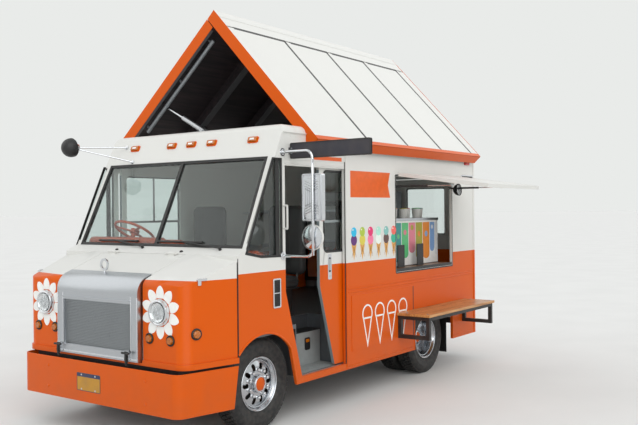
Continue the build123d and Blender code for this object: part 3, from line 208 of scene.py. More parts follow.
def place_of(tree, stretch=(1, 1, 1)):
    """The point on the object in metres, stretched along its axes."""
    here = node(tree, "TexCoord").outputs["Object"]
    return node(tree, "Mapping", None, {"Vector": here, "Scale": stretch}).outputs["Vector"]


def cells(tree, place, scale, **more):
    """How far a place lies from the middle of its cell, with so many cells a metre."""
    return node(tree, "TexVoronoi", None, {"Vector": place, "Scale": scale, **more}).outputs["Distance"]


def relief(tree, shader, height, depth):
    """Bump of the given depth in metres from a height between 0 and 1."""
    bump = node(tree, "Bump", None, {"Strength": 1.0, "Distance": depth, "Height": height})
    tree.links.new(bump.outputs["Normal"], shader.inputs["Normal"])


def mottled(tree, shader, colour, other, size, share, place=None):
    """Base colour that drifts between two colours over patches of a size in metres."""
    amount = spread(tree, noise(tree, place or place_of(tree), 1 / size, 4.0), 0.35, 0.7, 0.0, share)
    tree.links.new(blend(tree, amount, colour, other), shader.inputs["Base Color"])


def grained(name, colour, other, patch, share, grain, depth, scale, **more):
    """A finish that drifts between two colours in patches, over a grain of so many cells a metre. The grain
    is noise of that detail, or cells where it is 0."""
    tree, shader = material(name, linear(colour), **more)
    place = place_of(tree)
    mottled(tree, shader, linear(colour), linear(other), patch, share, place)
    height = noise(tree, place, scale, grain) if grain else cells(tree, place, scale)
    relief(tree, shader, height, depth)


def sprayed_enamel(name, low, high=None, line=0.0):
    """Two-pack enamel sprayed on aluminium sheet: a clear gloss over a faint orange-peel ripple,
    a little road film near the sills, and a masked edge where it changes colour."""
    tree, shader = material(
        name, low, roughness=0.36, Specular_IOR_Level=0.16, Coat_Weight=0.06, Coat_Roughness=0.1)
    place = place_of(tree)
    height = node(tree, "SeparateXYZ", None, {0: place}).outputs["Z"]
    colour = low
    if high:
        above = node(tree, "Math", {"operation": "GREATER_THAN"}, {0: height, 1: line})
        colour = blend(tree, above.outputs[0], low, high)
    # Road film thins out over the lowest 600 mm, in patches of about 150 mm
    film = spread(tree, height, 0.3, 0.9, 0.28, 0.03)
    patches = noise(tree, place, 7.0, 6.0)
    dust = node(tree, "Math", {"operation": "MULTIPLY"}, {0: film, 1: patches})
    tree.links.new(blend(tree, dust.outputs[0], colour, linear("#6d5b49")), shader.inputs["Base Color"])
    # Orange peel is about 4 mm across; long waves of 0.4 m show the sheet's tension
    peel, waves = noise(tree, place, 250.0, 1.0), noise(tree, place, 2.5, 1.0)
    relief(tree, shader, blend(tree, 0.04, waves, peel), 0.004)


def brushed_stainless(name, along=0, colour="#b9bcc0"):
    """Stainless sheet with a satin grain: fine scratches 0.6 mm apart drawn out along one axis."""
    tree, shader = material(name, linear(colour), metallic=1.0, roughness=0.3)
    stretch = [1.0, 1.0, 1.0]
    stretch[along] = 0.02
    place = place_of(tree, stretch)
    grain = noise(tree, place, 900.0, 3.0)
    tree.links.new(spread(tree, grain, start=0.2, end=0.42), shader.inputs["Roughness"])
    relief(tree, shader, grain, 0.0004)


def polished_chrome(name, colour="#d6d8db", roughness=0.07):
    """Bright chrome over polished steel: a near mirror with soft wipe marks 60 mm across."""
    tree, shader = material(name, linear(colour), metallic=1.0, roughness=roughness)
    wiped = spread(tree, noise(tree, place_of(tree), 16.0, 5.0), start=roughness * 0.6, end=roughness + 0.14)
    tree.links.new(wiped, shader.inputs["Roughness"])


def galvanised_steel(name):
    """Hot-dip galvanised steel: dull zinc with spangles about 12 mm across."""
    tree, shader = material(name, linear("#8d9195"), metallic=0.85, roughness=0.48)
    tone = blend(tree, cells(tree, place_of(tree), 80.0), linear("#7b8085"), linear("#a3a7aa"))
    tree.links.new(tone, shader.inputs["Base Color"])


def powder_coat(name, colour, roughness=0.5):
    """Powder-coated steel: an even satin skin with a 1.5 mm pebble, dusty in patches."""
    grained(name, colour, "#5c554e", 0.12, 0.25, 2.0, 0.0006, 650.0, roughness=roughness)


def cast_iron(name):
    """Rough cast iron with grease and rust in its hollows, its sand grain drawn 3 mm across to show."""
    grained(name, "#262524", "#5a3a24", 0.06, 0.6, 4.0, 0.002, 330.0, metallic=0.4, roughness=0.7)


def cured_rubber(name, colour="#17181a", roughness=0.62, dust=0.35):
    """Vulcanised rubber: dark and matt, greyed by dust in patches 40 mm across."""
    grained(name, colour, "#57524b", 0.04, dust, 3.0, 0.0006, 500.0, roughness=roughness)


def float_glass(name, tint="#dfe8e6"):
    """Automotive float glass: clear with a faint green edge and a sharp reflection. Its own shadow
    is let through, so that the cab behind it is lit."""
    tree, shader = material(name, linear(tint), roughness=0.0, IOR=1.4, Transmission_Weight=1.0)
    relief(tree, shader, noise(tree, place_of(tree), 1.5, 1.0), 0.002)
    shadow = node(tree, "LightPath").outputs["Is Shadow Ray"]
    clear = node(tree, "BsdfTransparent", None, {"Color": linear("#b9c4c2")})
    mix = node(tree, "MixShader", None, {0: shadow, 1: shader.outputs[0], 2: clear.outputs[0]})
    tree.links.new(mix.outputs[0], tree.nodes["Material Output"].inputs["Surface"])


def moulded_lens(name, colour):
    """Moulded acrylic lens: strong colour, a gloss skin and prism ribs inside it."""
    tree, shader = material(
        name, linear(colour), roughness=0.12, IOR=1.49, Transmission_Weight=0.35, Coat_Weight=0.5)
    wave = node(tree, "TexWave", {"bands_direction": "Y"}, {
        "Vector": place_of(tree), "Scale": 1 / LENS_RIB / WAVES})
    relief(tree, shader, wave.outputs["Color"], 0.0015)


def oiled_wood(name, dark, light):
    """Oiled hardwood boards: rings about 9 mm apart drawn out along the board, with fine pores."""
    tree, shader = material(name, linear(light), roughness=0.42, Coat_Weight=0.2)
    place = place_of(tree, (0.07, 1, 1))
    pores = noise(tree, place, 420.0, 2.0)
    grain = blend(tree, 0.3, noise(tree, place, 26.0, 5.0, Distortion=1.4), pores)
    tone = blend(tree, spread(tree, grain, 0.35, 0.62), linear(dark), linear(light))
    tree.links.new(tone, shader.inputs["Base Color"])
    relief(tree, shader, pores, 0.0006)


def moulded_abs(name, colour):
    """Moulded ABS with a spark-eroded leather texture 2 mm across."""
    grained(name, colour, "#4a4a4a", 0.15, 0.15, 0, 0.0005, 480.0, roughness=0.45)


def coated_vinyl(name, colour):
    """Calendered vinyl on foam: soft grain cells 3 mm across and a dull sheen."""
    grained(name, colour, "#3b3a3a", 0.08, 0.3, 0, 0.0012, 330.0, roughness=0.55, Sheen_Weight=0.15)


def chequer_plate(name):
    """Rolled chequer plate: raised lozenges on a 30 mm pitch, dull between them."""
    tree, shader = material(name, linear("#6f7376"), metallic=0.8, roughness=0.42)
    turned = node(tree, "Mapping", None, {
        "Vector": place_of(tree), "Rotation": (0.0, 0.0, pi / 4), "Scale": (1.0, 1.0, 0.0)})
    lozenges = node(tree, "TexVoronoi", {"distance": "MANHATTAN"}, {
        "Vector": turned.outputs[0], "Scale": 42.0, "Randomness": 0.0})
    relief(tree, shader, spread(tree, lozenges.outputs["Distance"], 0.3, 0.45, 1.0, 0.0), 0.003)


def printed_film(name, colour):
    """Cast vinyl film laid over the enamel: flat solid ink with a satin skin and faint mottle."""
    tree, shader = material(name, linear(colour), roughness=0.38)
    lighter = tuple(min(1.0, c * 1.12) for c in linear(colour)[:3]) + (1.0,)
    mottled(tree, shader, linear(colour), lighter, 0.05, 0.8)


def plywood_painted_shade(name):
    """Plywood lining: near black, which paints in the shade under the roof leaves, with a long grain along
    the truck.
    """
    tree, shader = material(name, linear("#241f22"), roughness=0.6)
    place = place_of(tree, (0.06, 1, 1))
    mottled(tree, shader, linear("#1c191c"), linear("#3d3032"), 0.03, 0.8, place)


def satin_laminate(name, colour):
    """Glass-fibre laminate wall sheet: off-white with a fine pebbled face 5 mm across."""
    grained(name, colour, "#b9b6ad", 0.3, 0.35, 2.0, 0.0008, 200.0, roughness=0.45)


def silvered_glass(name):
    """Mirror glass: silver behind a thin clear pane."""
    tree, shader = material(name, linear("#e3e6e8"), metallic=1.0, roughness=0.03, Coat_Weight=0.6)
    haze = spread(tree, noise(tree, place_of(tree), 30.0, 4.0), start=0.02, end=0.08)
    tree.links.new(haze, shader.inputs["Roughness"])


def studio_floor(name, colour):
    """Smooth painted studio floor, pale, with cloudy patches a metre across."""
    tree, shader = material(name, colour, roughness=0.8, Specular_IOR_Level=0.0)
    darker = tuple(c * 0.93 for c in colour[:3]) + (1.0,)
    mottled(tree, shader, colour, darker, 1.0, 0.5)


def look(name):
    """A finish that is already made."""
    return bpy.data.materials[name]


def plane_at(origin, u, v):
    """A matrix whose local x and y run along u and v from a point."""
    u, v = Vector(u).normalized(), Vector(v).normalized()
    turned = Matrix((u, v, u.cross(v))).transposed().to_4x4()
    turned.translation = Vector(origin)
    return turned


def front_face(x, y=0.0, z=0.0):
    """A plane across the truck, local x to its left and y up; its z points forward."""
    return plane_at((x, y, z), (0, 1, 0), (0, 0, 1))


def back_face(x, y=0.0, z=0.0):
    """A plane across the truck that faces back, local x to the truck's right and y up."""
    return plane_at((x, y, z), (0, -1, 0), (0, 0, 1))


def side_face(side, y=BODY_HALF, x=0.0, z=0.0):
    """The plane of one side, local x forward and y up; its z points outwards."""
    at = Matrix(((1, 0, 0), (0, 0, side), (0, 1, 0))).to_4x4()
    at.translation = (x, side * y, z)
    return at


def loop(at, points, lift=0.0):
    """A plane's points in space."""
    return [at @ Vector((x, y, lift)) for x, y in points]


def square(w, h, u=0.0, v=0.0):
    """A rectangular section about a point."""
    return rect(u - w / 2, u + w / 2, v - h / 2, v + h / 2)


def rect(x0, x1, y0, y1):
    """The corners of a rectangle."""
    return ((x0, y0), (x1, y0), (x1, y1), (x0, y1))


def windshield_face():
    """The windshield's plane from the middle of its foot: local x to the left, y up the glass."""
    return plane_at((GLASS_FOOT[0], 0, GLASS_FOOT[1]), (0, 1, 0), (GLASS_RUN[0], 0, GLASS_RUN[1]))


def round_box(w, h, r, steps=6, centre=(0, 0)):
    """The points of a rounded rectangle."""
    points = []
    for turn, sx, sy in ((0, 1, 1), (1, -1, 1), (2, -1, -1), (3, 1, -1)):
        x, y = centre[0] + sx * (w / 2 - r), centre[1] + sy * (h / 2 - r)
        for i in range(steps + 1):
            a = (turn + i / steps) * pi / 2
            points.append((x + r * cos(a), y + r * sin(a)))
    return points


def circle(r, steps=32, centre=(0, 0)):
    """The points of a circle."""
    turns = [2 * pi * i / steps for i in range(steps)]
    return [(centre[0] + r * cos(a), centre[1] + r * sin(a)) for a in turns]


class Piece:
    """One piece's mesh as it grows, each shape with its own finish."""

    def __init__(self, name):
        self.name = name
        self.mesh = bmesh.new()
        self.finishes = []

    def ring(self, points):
        """New corners at the given places."""
        return [self.mesh.verts.new(ORIGIN + Vector(p)) for p in points]

    def paint(self, faces, finish):
        """Gives faces their finish."""
        if finish not in self.finishes:
            self.finishes.append(finish)
        for face in faces:
            face.material_index = self.finishes.index(finish)

    def bridge(self, a, b, closed=True):
        """Quads between two rings."""
        count = len(a) if closed else len(a) - 1
        steps = [(i, (i + 1) % len(a)) for i in range(count)]
        return [self.mesh.faces.new((a[i], a[j], b[j], b[i])) for i, j in steps]

    def prism(self, points, at, low, high, finish):
        """An outline on a plane's own x and y, from low to high along its z."""
        first, last = [self.ring([at @ Vector((p[0], p[1], h)) for p in points]) for h in (low, high)]
        faces = [self.mesh.faces.new(list(reversed(first))), self.mesh.faces.new(last)]
        self.paint(faces + self.bridge(first, last), finish)

    def block(self, x, y, z, finish):
        """A block between three pairs of limits."""
        self.prism(rect(*x, *y), Matrix.Identity(4), z[0], z[1], finish)

    def loft(self, outlines, finish):
        """A solid through outlines with as many points each, closed at both ends."""
        rings = [self.ring(points) for points in outlines]
        faces = [face for a, b in zip(rings, rings[1:]) for face in self.bridge(a, b)]
        faces += [self.mesh.faces.new(list(reversed(rings[0]))), self.mesh.faces.new(rings[-1])]
        self.paint(faces, finish)

    def rim(self, at, points, section, finish, lift=0.0, closed=True):
        """A section carried round an outline on a plane with mitred corners, its y along the plane's z."""
        path, out, rings = loop(at, points, lift), at.to_3x3() @ Vector((0, 0, 1)), []
        for i, here in enumerate(path):
            ends = []
            if closed or i:
                ends.append((path[i - 1], here))
            if closed or i < len(path) - 1:
                ends.append((here, path[(i + 1) % len(path)]))
            sides = [(b - a).normalized().cross(out) for a, b in ends]
            side = sum(sides, Vector()).normalized()
            side /= max(0.3, side.dot(sides[0]))
            rings.append(self.ring([here + side * u + out * v for u, v in section]))
        others = rings[1:] + (rings[:1] if closed else [])
        faces = [face for a, b in zip(rings, others) for face in self.bridge(a, b)]
        if not closed:
            faces += [self.mesh.faces.new(rings[0]), self.mesh.faces.new(list(reversed(rings[-1])))]
        self.paint(faces, finish)

    def strip(self, at, points, section, finish, lift=0.0):
        """A section carried along a line on a plane, from one end to the other."""
        self.rim(at, points, section, finish, lift, closed=False)

    def pipe(self, path, radius, finish, sides=14):
        """A round bar along a path, its section carried without twist."""
        path = [Vector(p) for p in path]
        runs = [(b - a).normalized() for a, b in zip(path, path[1:])]
        across = runs[0].orthogonal().normalized()
        outlines = []
        for i, here in enumerate(path):
            along = (runs[max(0, i - 1)] + runs[min(i, len(runs) - 1)]).normalized()
            across = (across - along * across.dot(along)).normalized()
            other = along.cross(across)
            outlines.append([here + across * x + other * y for x, y in circle(radius, sides)])
        self.loft(outlines, finish)

    def turn(self, profile, at, finish, steps=48):
        """A profile of radius and height turned about a plane's z, open where it starts on the axis."""
        before = len(self.mesh.verts)
        rings = []
        for i in range(steps):
            a = 2 * pi * i / steps
            rings.append(self.ring([at @ Vector((r * cos(a), r * sin(a), h)) for r, h in profile]))
        closed = profile[0][0] > 0
        faces = [f for a, b in zip(rings, rings[1:] + rings[:1]) for f in self.bridge(a, b, closed)]
        self.paint(faces, finish)
        self.mesh.verts.ensure_lookup_table()
        bmesh.ops.remove_doubles(self.mesh, verts=self.mesh.verts[before:], dist=1e-6)

    def done(self, body="body", edge=0.0, smooth=35):
        """The finished object, riding on its body."""
        bmesh.ops.recalc_face_normals(self.mesh, faces=self.mesh.faces)
        data = bpy.data.meshes.new(self.name)
        self.mesh.to_mesh(data)
        self.mesh.free()
        for finish in self.finishes:
            data.materials.append(look(finish))
        made = bpy.data.objects.new(self.name, data)
        bpy.context.scene.collection.objects.link(made)
        data.shade_smooth()
        data.set_sharp_from_angle(angle=radians(smooth))
        if edge:
            soften(made, edge)
        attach(made, body)
        return made


def soften(made, edge, segments=2):
    """Rounds an object's sharp edges."""
    bevel = made.modifiers.new("edge", "BEVEL")
    bevel.width = edge
    bevel.segments = segments
    bevel.limit_method = "ANGLE"
    bevel.angle_limit = radians(35)


class TRUCK_OT_stage(Operator):
    """Sets the camera, the pale floor and the soft light"""
    bl_idname = "truck.stage"
    bl_label = "Stage"

    def execute(self, context):
        scene = context.scene
        scene.view_settings.view_transform = "Standard"
        # Camera at the photograph's place, its focal length and the picture's width in pixels
        focal, width = 808.5, 638
        eye = ORIGIN + Vector((5.313, 5.486, 1.888))
        yaw, pitch, roll = -2.514, -0.003, -0.010
        ahead = Vector((cos(yaw) * cos(pitch), sin(yaw) * cos(pitch), sin(pitch)))
        right = ahead.cross(Vector((0, 0, 1))).normalized()
        up = right.cross(ahead)
        right, up = right * cos(roll) + up * sin(roll), up * cos(roll) - right * sin(roll)
        data = bpy.data.cameras.new("photo_view")
        data.sensor_width = 36.0
        data.lens = data.sensor_width * focal / width
        camera = bpy.data.objects.new("photo_view", data)
        camera.matrix_world = Matrix((right, up, -ahead)).transposed().to_4x4()
        camera.location = eye
        scene.collection.objects.link(camera)
        scene.camera = camera

        floor = bpy.data.meshes.new("studio_floor")
        floor.from_pydata([(x, y, 0) for x, y in square(800.0, 800.0)], [], [(0, 1, 2, 3)])
        floor.materials.append(look("studio_floor"))
        made = bpy.data.objects.new("studio_floor", floor)
        scene.collection.objects.link(made)

        # Soft suns light the floor evenly out to the horizon
        for name, place, strength in (("key", (8.0, 10.0, 7.5), 1.55), ("fill", (4.0, -9.0, 7.0), 0.5),
                                      ("back", (-9.0, 2.0, 6.0), 0.45)):
            lamp = bpy.data.lights.new(name, "SUN")
            lamp.energy, lamp.angle = strength, radians(65)
            holder = bpy.data.objects.new(name, lamp)
            holder.rotation_euler = (-Vector(place)).to_track_quat("-Z", "Y").to_euler()
            scene.collection.objects.link(holder)

        world = bpy.data.worlds.new("studio")
        world.use_nodes = True
        scene.world = world
        tree = world.node_tree
        path = node(tree, "LightPath")
        straight = node(tree, "Math", {"operation": "MAXIMUM"}, {
            0: path.outputs["Is Camera Ray"], 1: path.outputs["Is Transmission Ray"]})
        seen = node(tree, "Math", {"operation": "MAXIMUM"}, {
            0: straight.outputs[0], 1: path.outputs["Is Glossy Ray"]})
        soft = tree.nodes["Background"]
        back = node(tree, "Background", None, {"Color": linear("#e9ebe9"), "Strength": 1.0})
        # Brighter overhead than at the horizon, as under an even cloud
        up_share = node(tree, "SeparateXYZ", None, {0: node(tree, "TexCoord").outputs["Generated"]})
        tree.links.new(spread(tree, up_share.outputs["Z"], -0.1, 0.9, 0.38, 0.78), soft.inputs["Strength"])
        soft.inputs["Color"].default_value = linear("#f6f8fb")
        mix = node(tree, "MixShader", None, {0: seen.outputs[0], 1: soft.outputs[0], 2: back.outputs[0]})
        tree.links.new(mix.outputs[0], tree.nodes["World Output"].inputs["Surface"])
        return {"FINISHED"}


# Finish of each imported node; the sheet panels also get softened edges
NODE_LOOKS = {
    "two_tone_enamel": ("left_wall", "right_wall", "cab_door_left", "cab_door_right", "rear_wall",
                        "rear_door_left", "rear_door_right"),
    "nose_enamel": ("nose_shell", "hood_lid"),
    "white_enamel": ("cab_front", "roof_panel", "hatch"),
    "orange_enamel": ("front_bumper",),
    "dash_abs": ("dash",),
    "grille_stainless": ("grille_surround",),
    "rim_chrome": ("front_rim_left", "front_rim_right", "rear_rims_left", "rear_rims_right"),
    "bright_chrome": ("headlamps", "mirrors", "strut_rods", "actuator_rod", "lid_fittings"),
    "mill_aluminium": ("actuator_cylinder",),
    "zinc_steel": ("roof_frame",),
    "black_steel": ("chassis_frame", "rear_step", "table_frame", "tank_and_exhaust", "strut_cylinders",
                    "menu_stands"),
    "axle_iron": ("front_axle", "knuckle_left", "knuckle_right", "rear_axle", "engine_block"),
    "tyre_rubber": ("front_tyre_left", "front_tyre_right", "rear_tyres_left", "rear_tyres_right"),
    "seal_rubber": ("windshield_seal", "wipers", "grille_screen"),
    "window_glass": ("cab_glass", "door_glass_left", "door_glass_right", "rear_glass_left",
                     "rear_glass_right"),
    "amber_lens": ("amber_lamps",),
    "red_lens": ("tail_lamps",),
    # The leaves' undersides are near black: painted shade
    "roof_lining": ("roof_leaf_near", "roof_leaf_far"),
    "oak_counter": ("serving_counter",),
    "larch_table": ("table_top",),
    "wall_laminate": ("serving_cabinet",),
    "step_plate": ("floor",),
    "seat_vinyl": ("seats",),
    "sign_face": ("blade_sign",),
}
SHEET_NODES = ("left_wall", "right_wall", "cab_door_left", "cab_door_right", "rear_door_left",
               "rear_door_right",
               "nose_shell", "hood_lid", "cab_front", "hatch", "front_bumper", "grille_surround", "table_top",
               "serving_counter")


class TRUCK_OT_finishes(Operator):
    """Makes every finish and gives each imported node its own"""
    bl_idname = "truck.finishes"
    bl_label = "Finishes"

    def execute(self, context):
        sizes, colours = context.scene.truck_sizes, context.scene.truck_colours
        orange, white = tuple(colours.orange), tuple(colours.white)
        sprayed_enamel("two_tone_enamel", orange, white, sizes.belt)
        sprayed_enamel("nose_enamel", orange, white, sizes.nose_belt)
        sprayed_enamel("white_enamel", white)
        sprayed_enamel("orange_enamel", orange)
        brushed_stainless("grille_stainless", along=1)
        brushed_stainless("mill_aluminium", along=0, colour="#c3c5c8")
        polished_chrome("rim_chrome", "#c2c5c9", 0.16)
        polished_chrome("bright_chrome")
        polished_chrome("lamp_silver", "#f2f4f6", 0.12)
        galvanised_steel("zinc_steel")
        powder_coat("black_steel", "#1b1b1c")
        powder_coat("grey_steel", "#77797b")
        cast_iron("axle_iron")
        cured_rubber("tyre_rubber")
        cured_rubber("seal_rubber", "#111213", 0.45, 0.12)
        cured_rubber("seal_grey", "#7d8a8e", 0.5, 0.15)
        float_glass("window_glass")
        float_glass("lamp_glass", "#fcfdfd")
        moulded_lens("amber_lens", "#e07a12")
        moulded_lens("red_lens", "#a8161a")
        plywood_painted_shade("roof_lining")
        oiled_wood("oak_counter", "#4a2f1b", "#9a6b41")
        oiled_wood("larch_table", "#93602f", "#d39a5a")
        satin_laminate("wall_laminate", "#d9d7cf")
        # A lighter copy of the wall laminate for the hatch: painted light, where the hatch catches the sun
        satin_laminate("hatch_laminate_painted_light", "#e6e6e2")
        chequer_plate("step_plate")
        coated_vinyl("seat_vinyl", "#1f1f22")
        powder_coat("step_grey", "#9ba09f", 0.42)
        moulded_abs("black_abs", "#161617")
        moulded_abs("dash_abs", "#c9480d")
        powder_coat("sign_face", "#2b2a34", 0.42)
        silvered_glass("mirror_glass")
        printed_film("white_film", "#eeeeea")
        printed_film("orange_film", "#dd5b06")
        printed_film("wafer_film", "#d9a455")
        printed_film("wafer_line_film", "#a8702c")
        powder_coat("plate_gold", "#c08a1c", 0.4)
        powder_coat("plate_blue", "#1d2a55", 0.4)
        # Dark grey for the rafters' faces: painted shade under the roof leaves
        powder_coat("rafter_painted_shade", "#5a5a5d", 0.5)
        brushed_stainless("wire_zinc", along=2, colour="#9fa3a6")
        studio_floor("studio_floor", tuple(colours.floor))
        for finish, nodes in NODE_LOOKS.items():
            for name in nodes:
                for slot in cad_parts[name].material_slots:
                    slot.material = look(finish)
        for name in SHEET_NODES:
            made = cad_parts[name]
            made.modifiers.new("weld", "WELD").merge_threshold = 0.00005
            soften(made, sizes.edge)
        return {"FINISHED"}


SIDES = ((1, "left"), (-1, "right"))
# Places on the sides, along the truck and up: wheel arches, the nose's seam, door opening and box corners
WALL_TOP = 2.57
ARCH_MID, ARCH_R = (0.07, 0.395), 0.458
ARCH_BACK = ((-0.289, 0.68), (-0.385, 0.3))
REAR_ARCH = (-3.42, -2.495, 0.77)
SILL_Z = 0.34
SEAM_X = 0.405
DOOR_X = (-1.147, -0.222)
CORNER_XS = (-1.176, REAR_X + 0.035)
# Distance between the slats of the side vents
SLAT_PITCH = 0.018
# The cab doors' outer face, and how far back each one stands
DOOR_OUT_Y = 1.065
DOOR_SHIFT = {"left": 0.56, "right": 0.0}
# The quarter glass's outline and the gaskets' section
QUARTER = ((0.296, 1.536), (0.105, 1.5), (-0.17, 1.495), (-0.17, 2.333), (-0.062, 2.333))
GASKET = ((-0.013, -0.004), (0.013, -0.004), (0.009, 0.005), (-0.009, 0.005))


class TRUCK_OT_side_trim(Operator):
    """Adds the drip rails, mouldings, door headers, wheel arch lips, rivets and vents on both sides"""
    bl_idname = "truck.side_trim"
    bl_label = "Side trim"

    def execute(self, context):
        lip = ((-0.009, -0.002), (0.009, -0.002), (0.009, 0.004), (0.0, 0.007), (-0.009, 0.004))
        bead = ((-0.009, -0.001), (0.009, -0.001), (0.006, 0.005), (-0.006, 0.005))
        start = atan2(ARCH_BACK[0][1] - ARCH_MID[1], ARCH_BACK[0][0] - ARCH_MID[0])
        end = atan2(ARCH_R * 0.685, SEAM_X - 0.012 - ARCH_MID[0])
        arc = [start + (end - start) * i / 16 for i in range(17)]
        foot_x = ARCH_BACK[1][0] + (SILL_Z - ARCH_BACK[1][1]) * 0.2526
        front_arch = [(foot_x, SILL_Z + 0.002)] + [
            (ARCH_MID[0] + ARCH_R * cos(a), ARCH_MID[1] + ARCH_R * sin(a)) for a in arc]
        rear, front, top = REAR_ARCH
        rear_arch = [(rear, SILL_Z + 0.002), (rear, top), (front, top), (front, SILL_Z + 0.002)]
        for side, word in SIDES:
            at = side_face(side)
            trim = Piece(f"side_mouldings_{word}")
            for path in (front_arch, rear_arch):
                trim.strip(at, path, lip, "orange_enamel")
            gutter = ((-0.006, -0.002), (0.008, -0.002), (0.008, 0.012), (0.003, 0.012), (0.003, 0.004),
                      (-0.006, 0.003))
            trim.strip(at, [(REAR_X + 0.02, WALL_TOP), (-0.2, WALL_TOP)], gutter, "white_enamel")
            # White header over the door, and beads on it, at the box's corners and over the lower panels
            trim.block((DOOR_X[0] + 0.001, DOOR_X[1] - 0.001), (side * 1.08, side * 1.1045), (2.281, 2.3505),
                       "white_enamel")
            for z in (2.3, 2.343):
                trim.strip(at, [(-1.14, z), (-0.225, z)], bead, "white_enamel", -0.001)
            for x in CORNER_XS:
                trim.strip(at, [(x, SILL_Z + 0.01), (x, WALL_TOP - 0.02)], square(0.03, 0.008, 0, 0.003),
                           "two_tone_enamel")
            for x0, x1, z in ((-3.98, -1.2, 1.085), (-3.98, -1.2, 1.118), (-3.99, rear - 0.02, 0.372),
                              (front + 0.03, -1.2, 0.372)):
                trim.strip(at, [(x0, z), (x1, z)], bead, "orange_enamel")
            trim.done(edge=TRIM_EDGE)

            dark = Piece(f"panel_gaps_{word}")
            for x, low, high, half, proud in ((DOOR_X[0] - 0.004, 0.4, 2.35, 0.007, 0.0007),
                                              (SEAM_X - 0.004, 0.7, 1.5, 0.004, 0.0007),
                                              (-2.462, 0.505, 1.045, 0.007, 0.0057)):
                dark.prism(rect(x - half, x + half, low, high), at, -0.001, proud, "seal_rubber")
            dark.done()

            heads = Piece(f"rivets_{word}")
            spots = [(REAR_X + 0.06 + i * 0.08, WALL_TOP - 0.028) for i in range(47)]
            spots += [(x, 0.42 + i * 0.09) for x in CORNER_XS for i in range(24)]
            spots += [(-1.27 - i * 0.0965, z) for z in (0.515, 1.035) for i in range(13)]
            for x, z in spots:
                on_panel = -2.46 < x < -1.25 and 0.5 < z < 1.05
                proud = 0.005 if on_panel else 0.0065 if x in CORNER_XS else 0.0
                heads.prism(circle(0.0045, 8, (x, z)), at, proud - 0.001, proud + 0.0022,
                            "orange_enamel" if z < context.scene.truck_sizes.belt else "white_enamel")
            heads.done()

            vents = Piece(f"side_vents_{word}")
            for x, z, w, h, barred in ((-0.092, 1.177, 0.08, 0.228, True),
                                       (-3.8315, 2.2635, 0.294, 0.045, False)):
                vents.rim(at, round_box(w + 0.012, h + 0.012, 0.008, 4, (x, z)),
                          square(0.014, 0.012, 0, 0.005), "bright_chrome")
                vents.prism(round_box(w, h, 0.005, 3, (x, z)), at, -0.001, 0.001, "black_abs")
                for i in range(int(h / SLAT_PITCH)):
                    low = z - h / 2 + 0.008 + i * SLAT_PITCH
                    blade = ((0, 0.001), (0.004, 0.001), (0.012, 0.006), (0.008, 0.006))
                    vents.loft([[at @ Vector((edge, low + b, c)) for b, c in blade]
                                for edge in (x - w / 2, x + w / 2)], "black_abs")
                if barred:
                    vents.block((x - w / 2, x + w / 2), (side * BODY_HALF, side * (BODY_HALF + 0.008)),
                                (z - 0.004, z + 0.004), "bright_chrome")
            vents.done(edge=FITTING_EDGE)
        return {"FINISHED"}


class TRUCK_OT_windows(Operator):
    """Adds the glass's rubber gaskets and bars, and the cab doors' edge seals and handles"""
    bl_idname = "truck.windows"
    bl_label = "Window gaskets"

    def execute(self, context):
        for side, word in SIDES:
            fixed = Piece(f"quarter_gasket_{word}")
            fixed.rim(side_face(side), QUARTER, GASKET, "seal_rubber")
            fixed.strip(side_face(side), [(-0.112, 1.5), (-0.112, 2.33)], square(0.05, 0.008), "seal_rubber")
            fixed.done()
            # The door's window: front edge 72 mm behind the door's front edge
            front = DOOR_X[1] - 0.072 - DOOR_SHIFT[word]
            centre = (front - 0.38, 1.875)
            face = side_face(side, DOOR_OUT_Y)
            gasket = Piece(f"door_gasket_{word}")
            gasket.rim(face, round_box(0.76, 0.76, 0.05, 8, centre), GASKET, "seal_rubber")
            # Bar and lower sash of the sliding pane behind the outer one
            for path in ([(centre[0] - 0.36, 1.78), (centre[0] + 0.36, 1.78)],
                         [(centre[0], 1.78), (centre[0], 2.24)]):
                gasket.strip(face, path, square(0.022, 0.008), "mill_aluminium", -0.02)
            gasket.done(body=f"cab_door_{word}")
            # Grey seal down the leaf's slanted front edge
            reach = -0.005 - DOOR_SHIFT[word]
            edge_seal = [(DOOR_X[1] + reach, 2.262), (DOOR_X[1] + reach, 1.18), (-0.447 + reach, 0.42)]
            gasket = Piece(f"door_edge_{word}")
            gasket.strip(side_face(side, DOOR_OUT_Y - 0.016), edge_seal, square(0.003, 0.03, 0.0012),
                         "seal_grey")
            gasket.done(body=f"cab_door_{word}")
            plate = Piece(f"door_handle_{word}")
            x = DOOR_X[1] - 0.16 - DOOR_SHIFT[word]
            lifted = side_face(side, DOOR_OUT_Y + 0.004)
            for w, h, r, steps, z, low, high, finish in (
                    (0.061, 0.241, 0.012, 4, 1.35, -0.001, 0.0006, "bright_chrome"),
                    (0.034, 0.14, 0.01, 4, 1.37, 0.0005, 0.0011, "black_abs"),
                    (0.02, 0.11, 0.006, 3, 1.37, 0.001, 0.0022, "bright_chrome")):
                plate.prism(round_box(w, h, r, steps, (x, z)), lifted, low, high, finish)
            plate.prism(circle(0.009, 16, (x, 1.262)), lifted, 0.0005, 0.0016, "mill_aluminium")
            plate.done(body=f"cab_door_{word}", edge=FITTING_EDGE)
            rear = Piece(f"rear_gasket_{word}")
            pane = [(-side * 0.42 + a, 1.86 + b) for a, b in round_box(0.56, 0.6, 0.03, 5)]
            rear.rim(back_face(REAR_X - 0.002), pane, GASKET, "seal_rubber")
            rear.done(body=f"rear_door_{word}")
        # A thin dark bead inside the windshield's rubber
        bead = Piece("windshield_bead")
        rise = hypot(*GLASS_RUN)
        corners = ((-1.045, 0), (1.045, 0), (1.026, rise), (-1.026, rise))
        outer = [(x * 0.994, 0.006 + y * 0.986) for x, y in corners]
        bead.rim(windshield_face(), outer, square(0.009, 0.005), "seal_rubber", 0.004)
        bead.done()
        return {"FINISHED"}


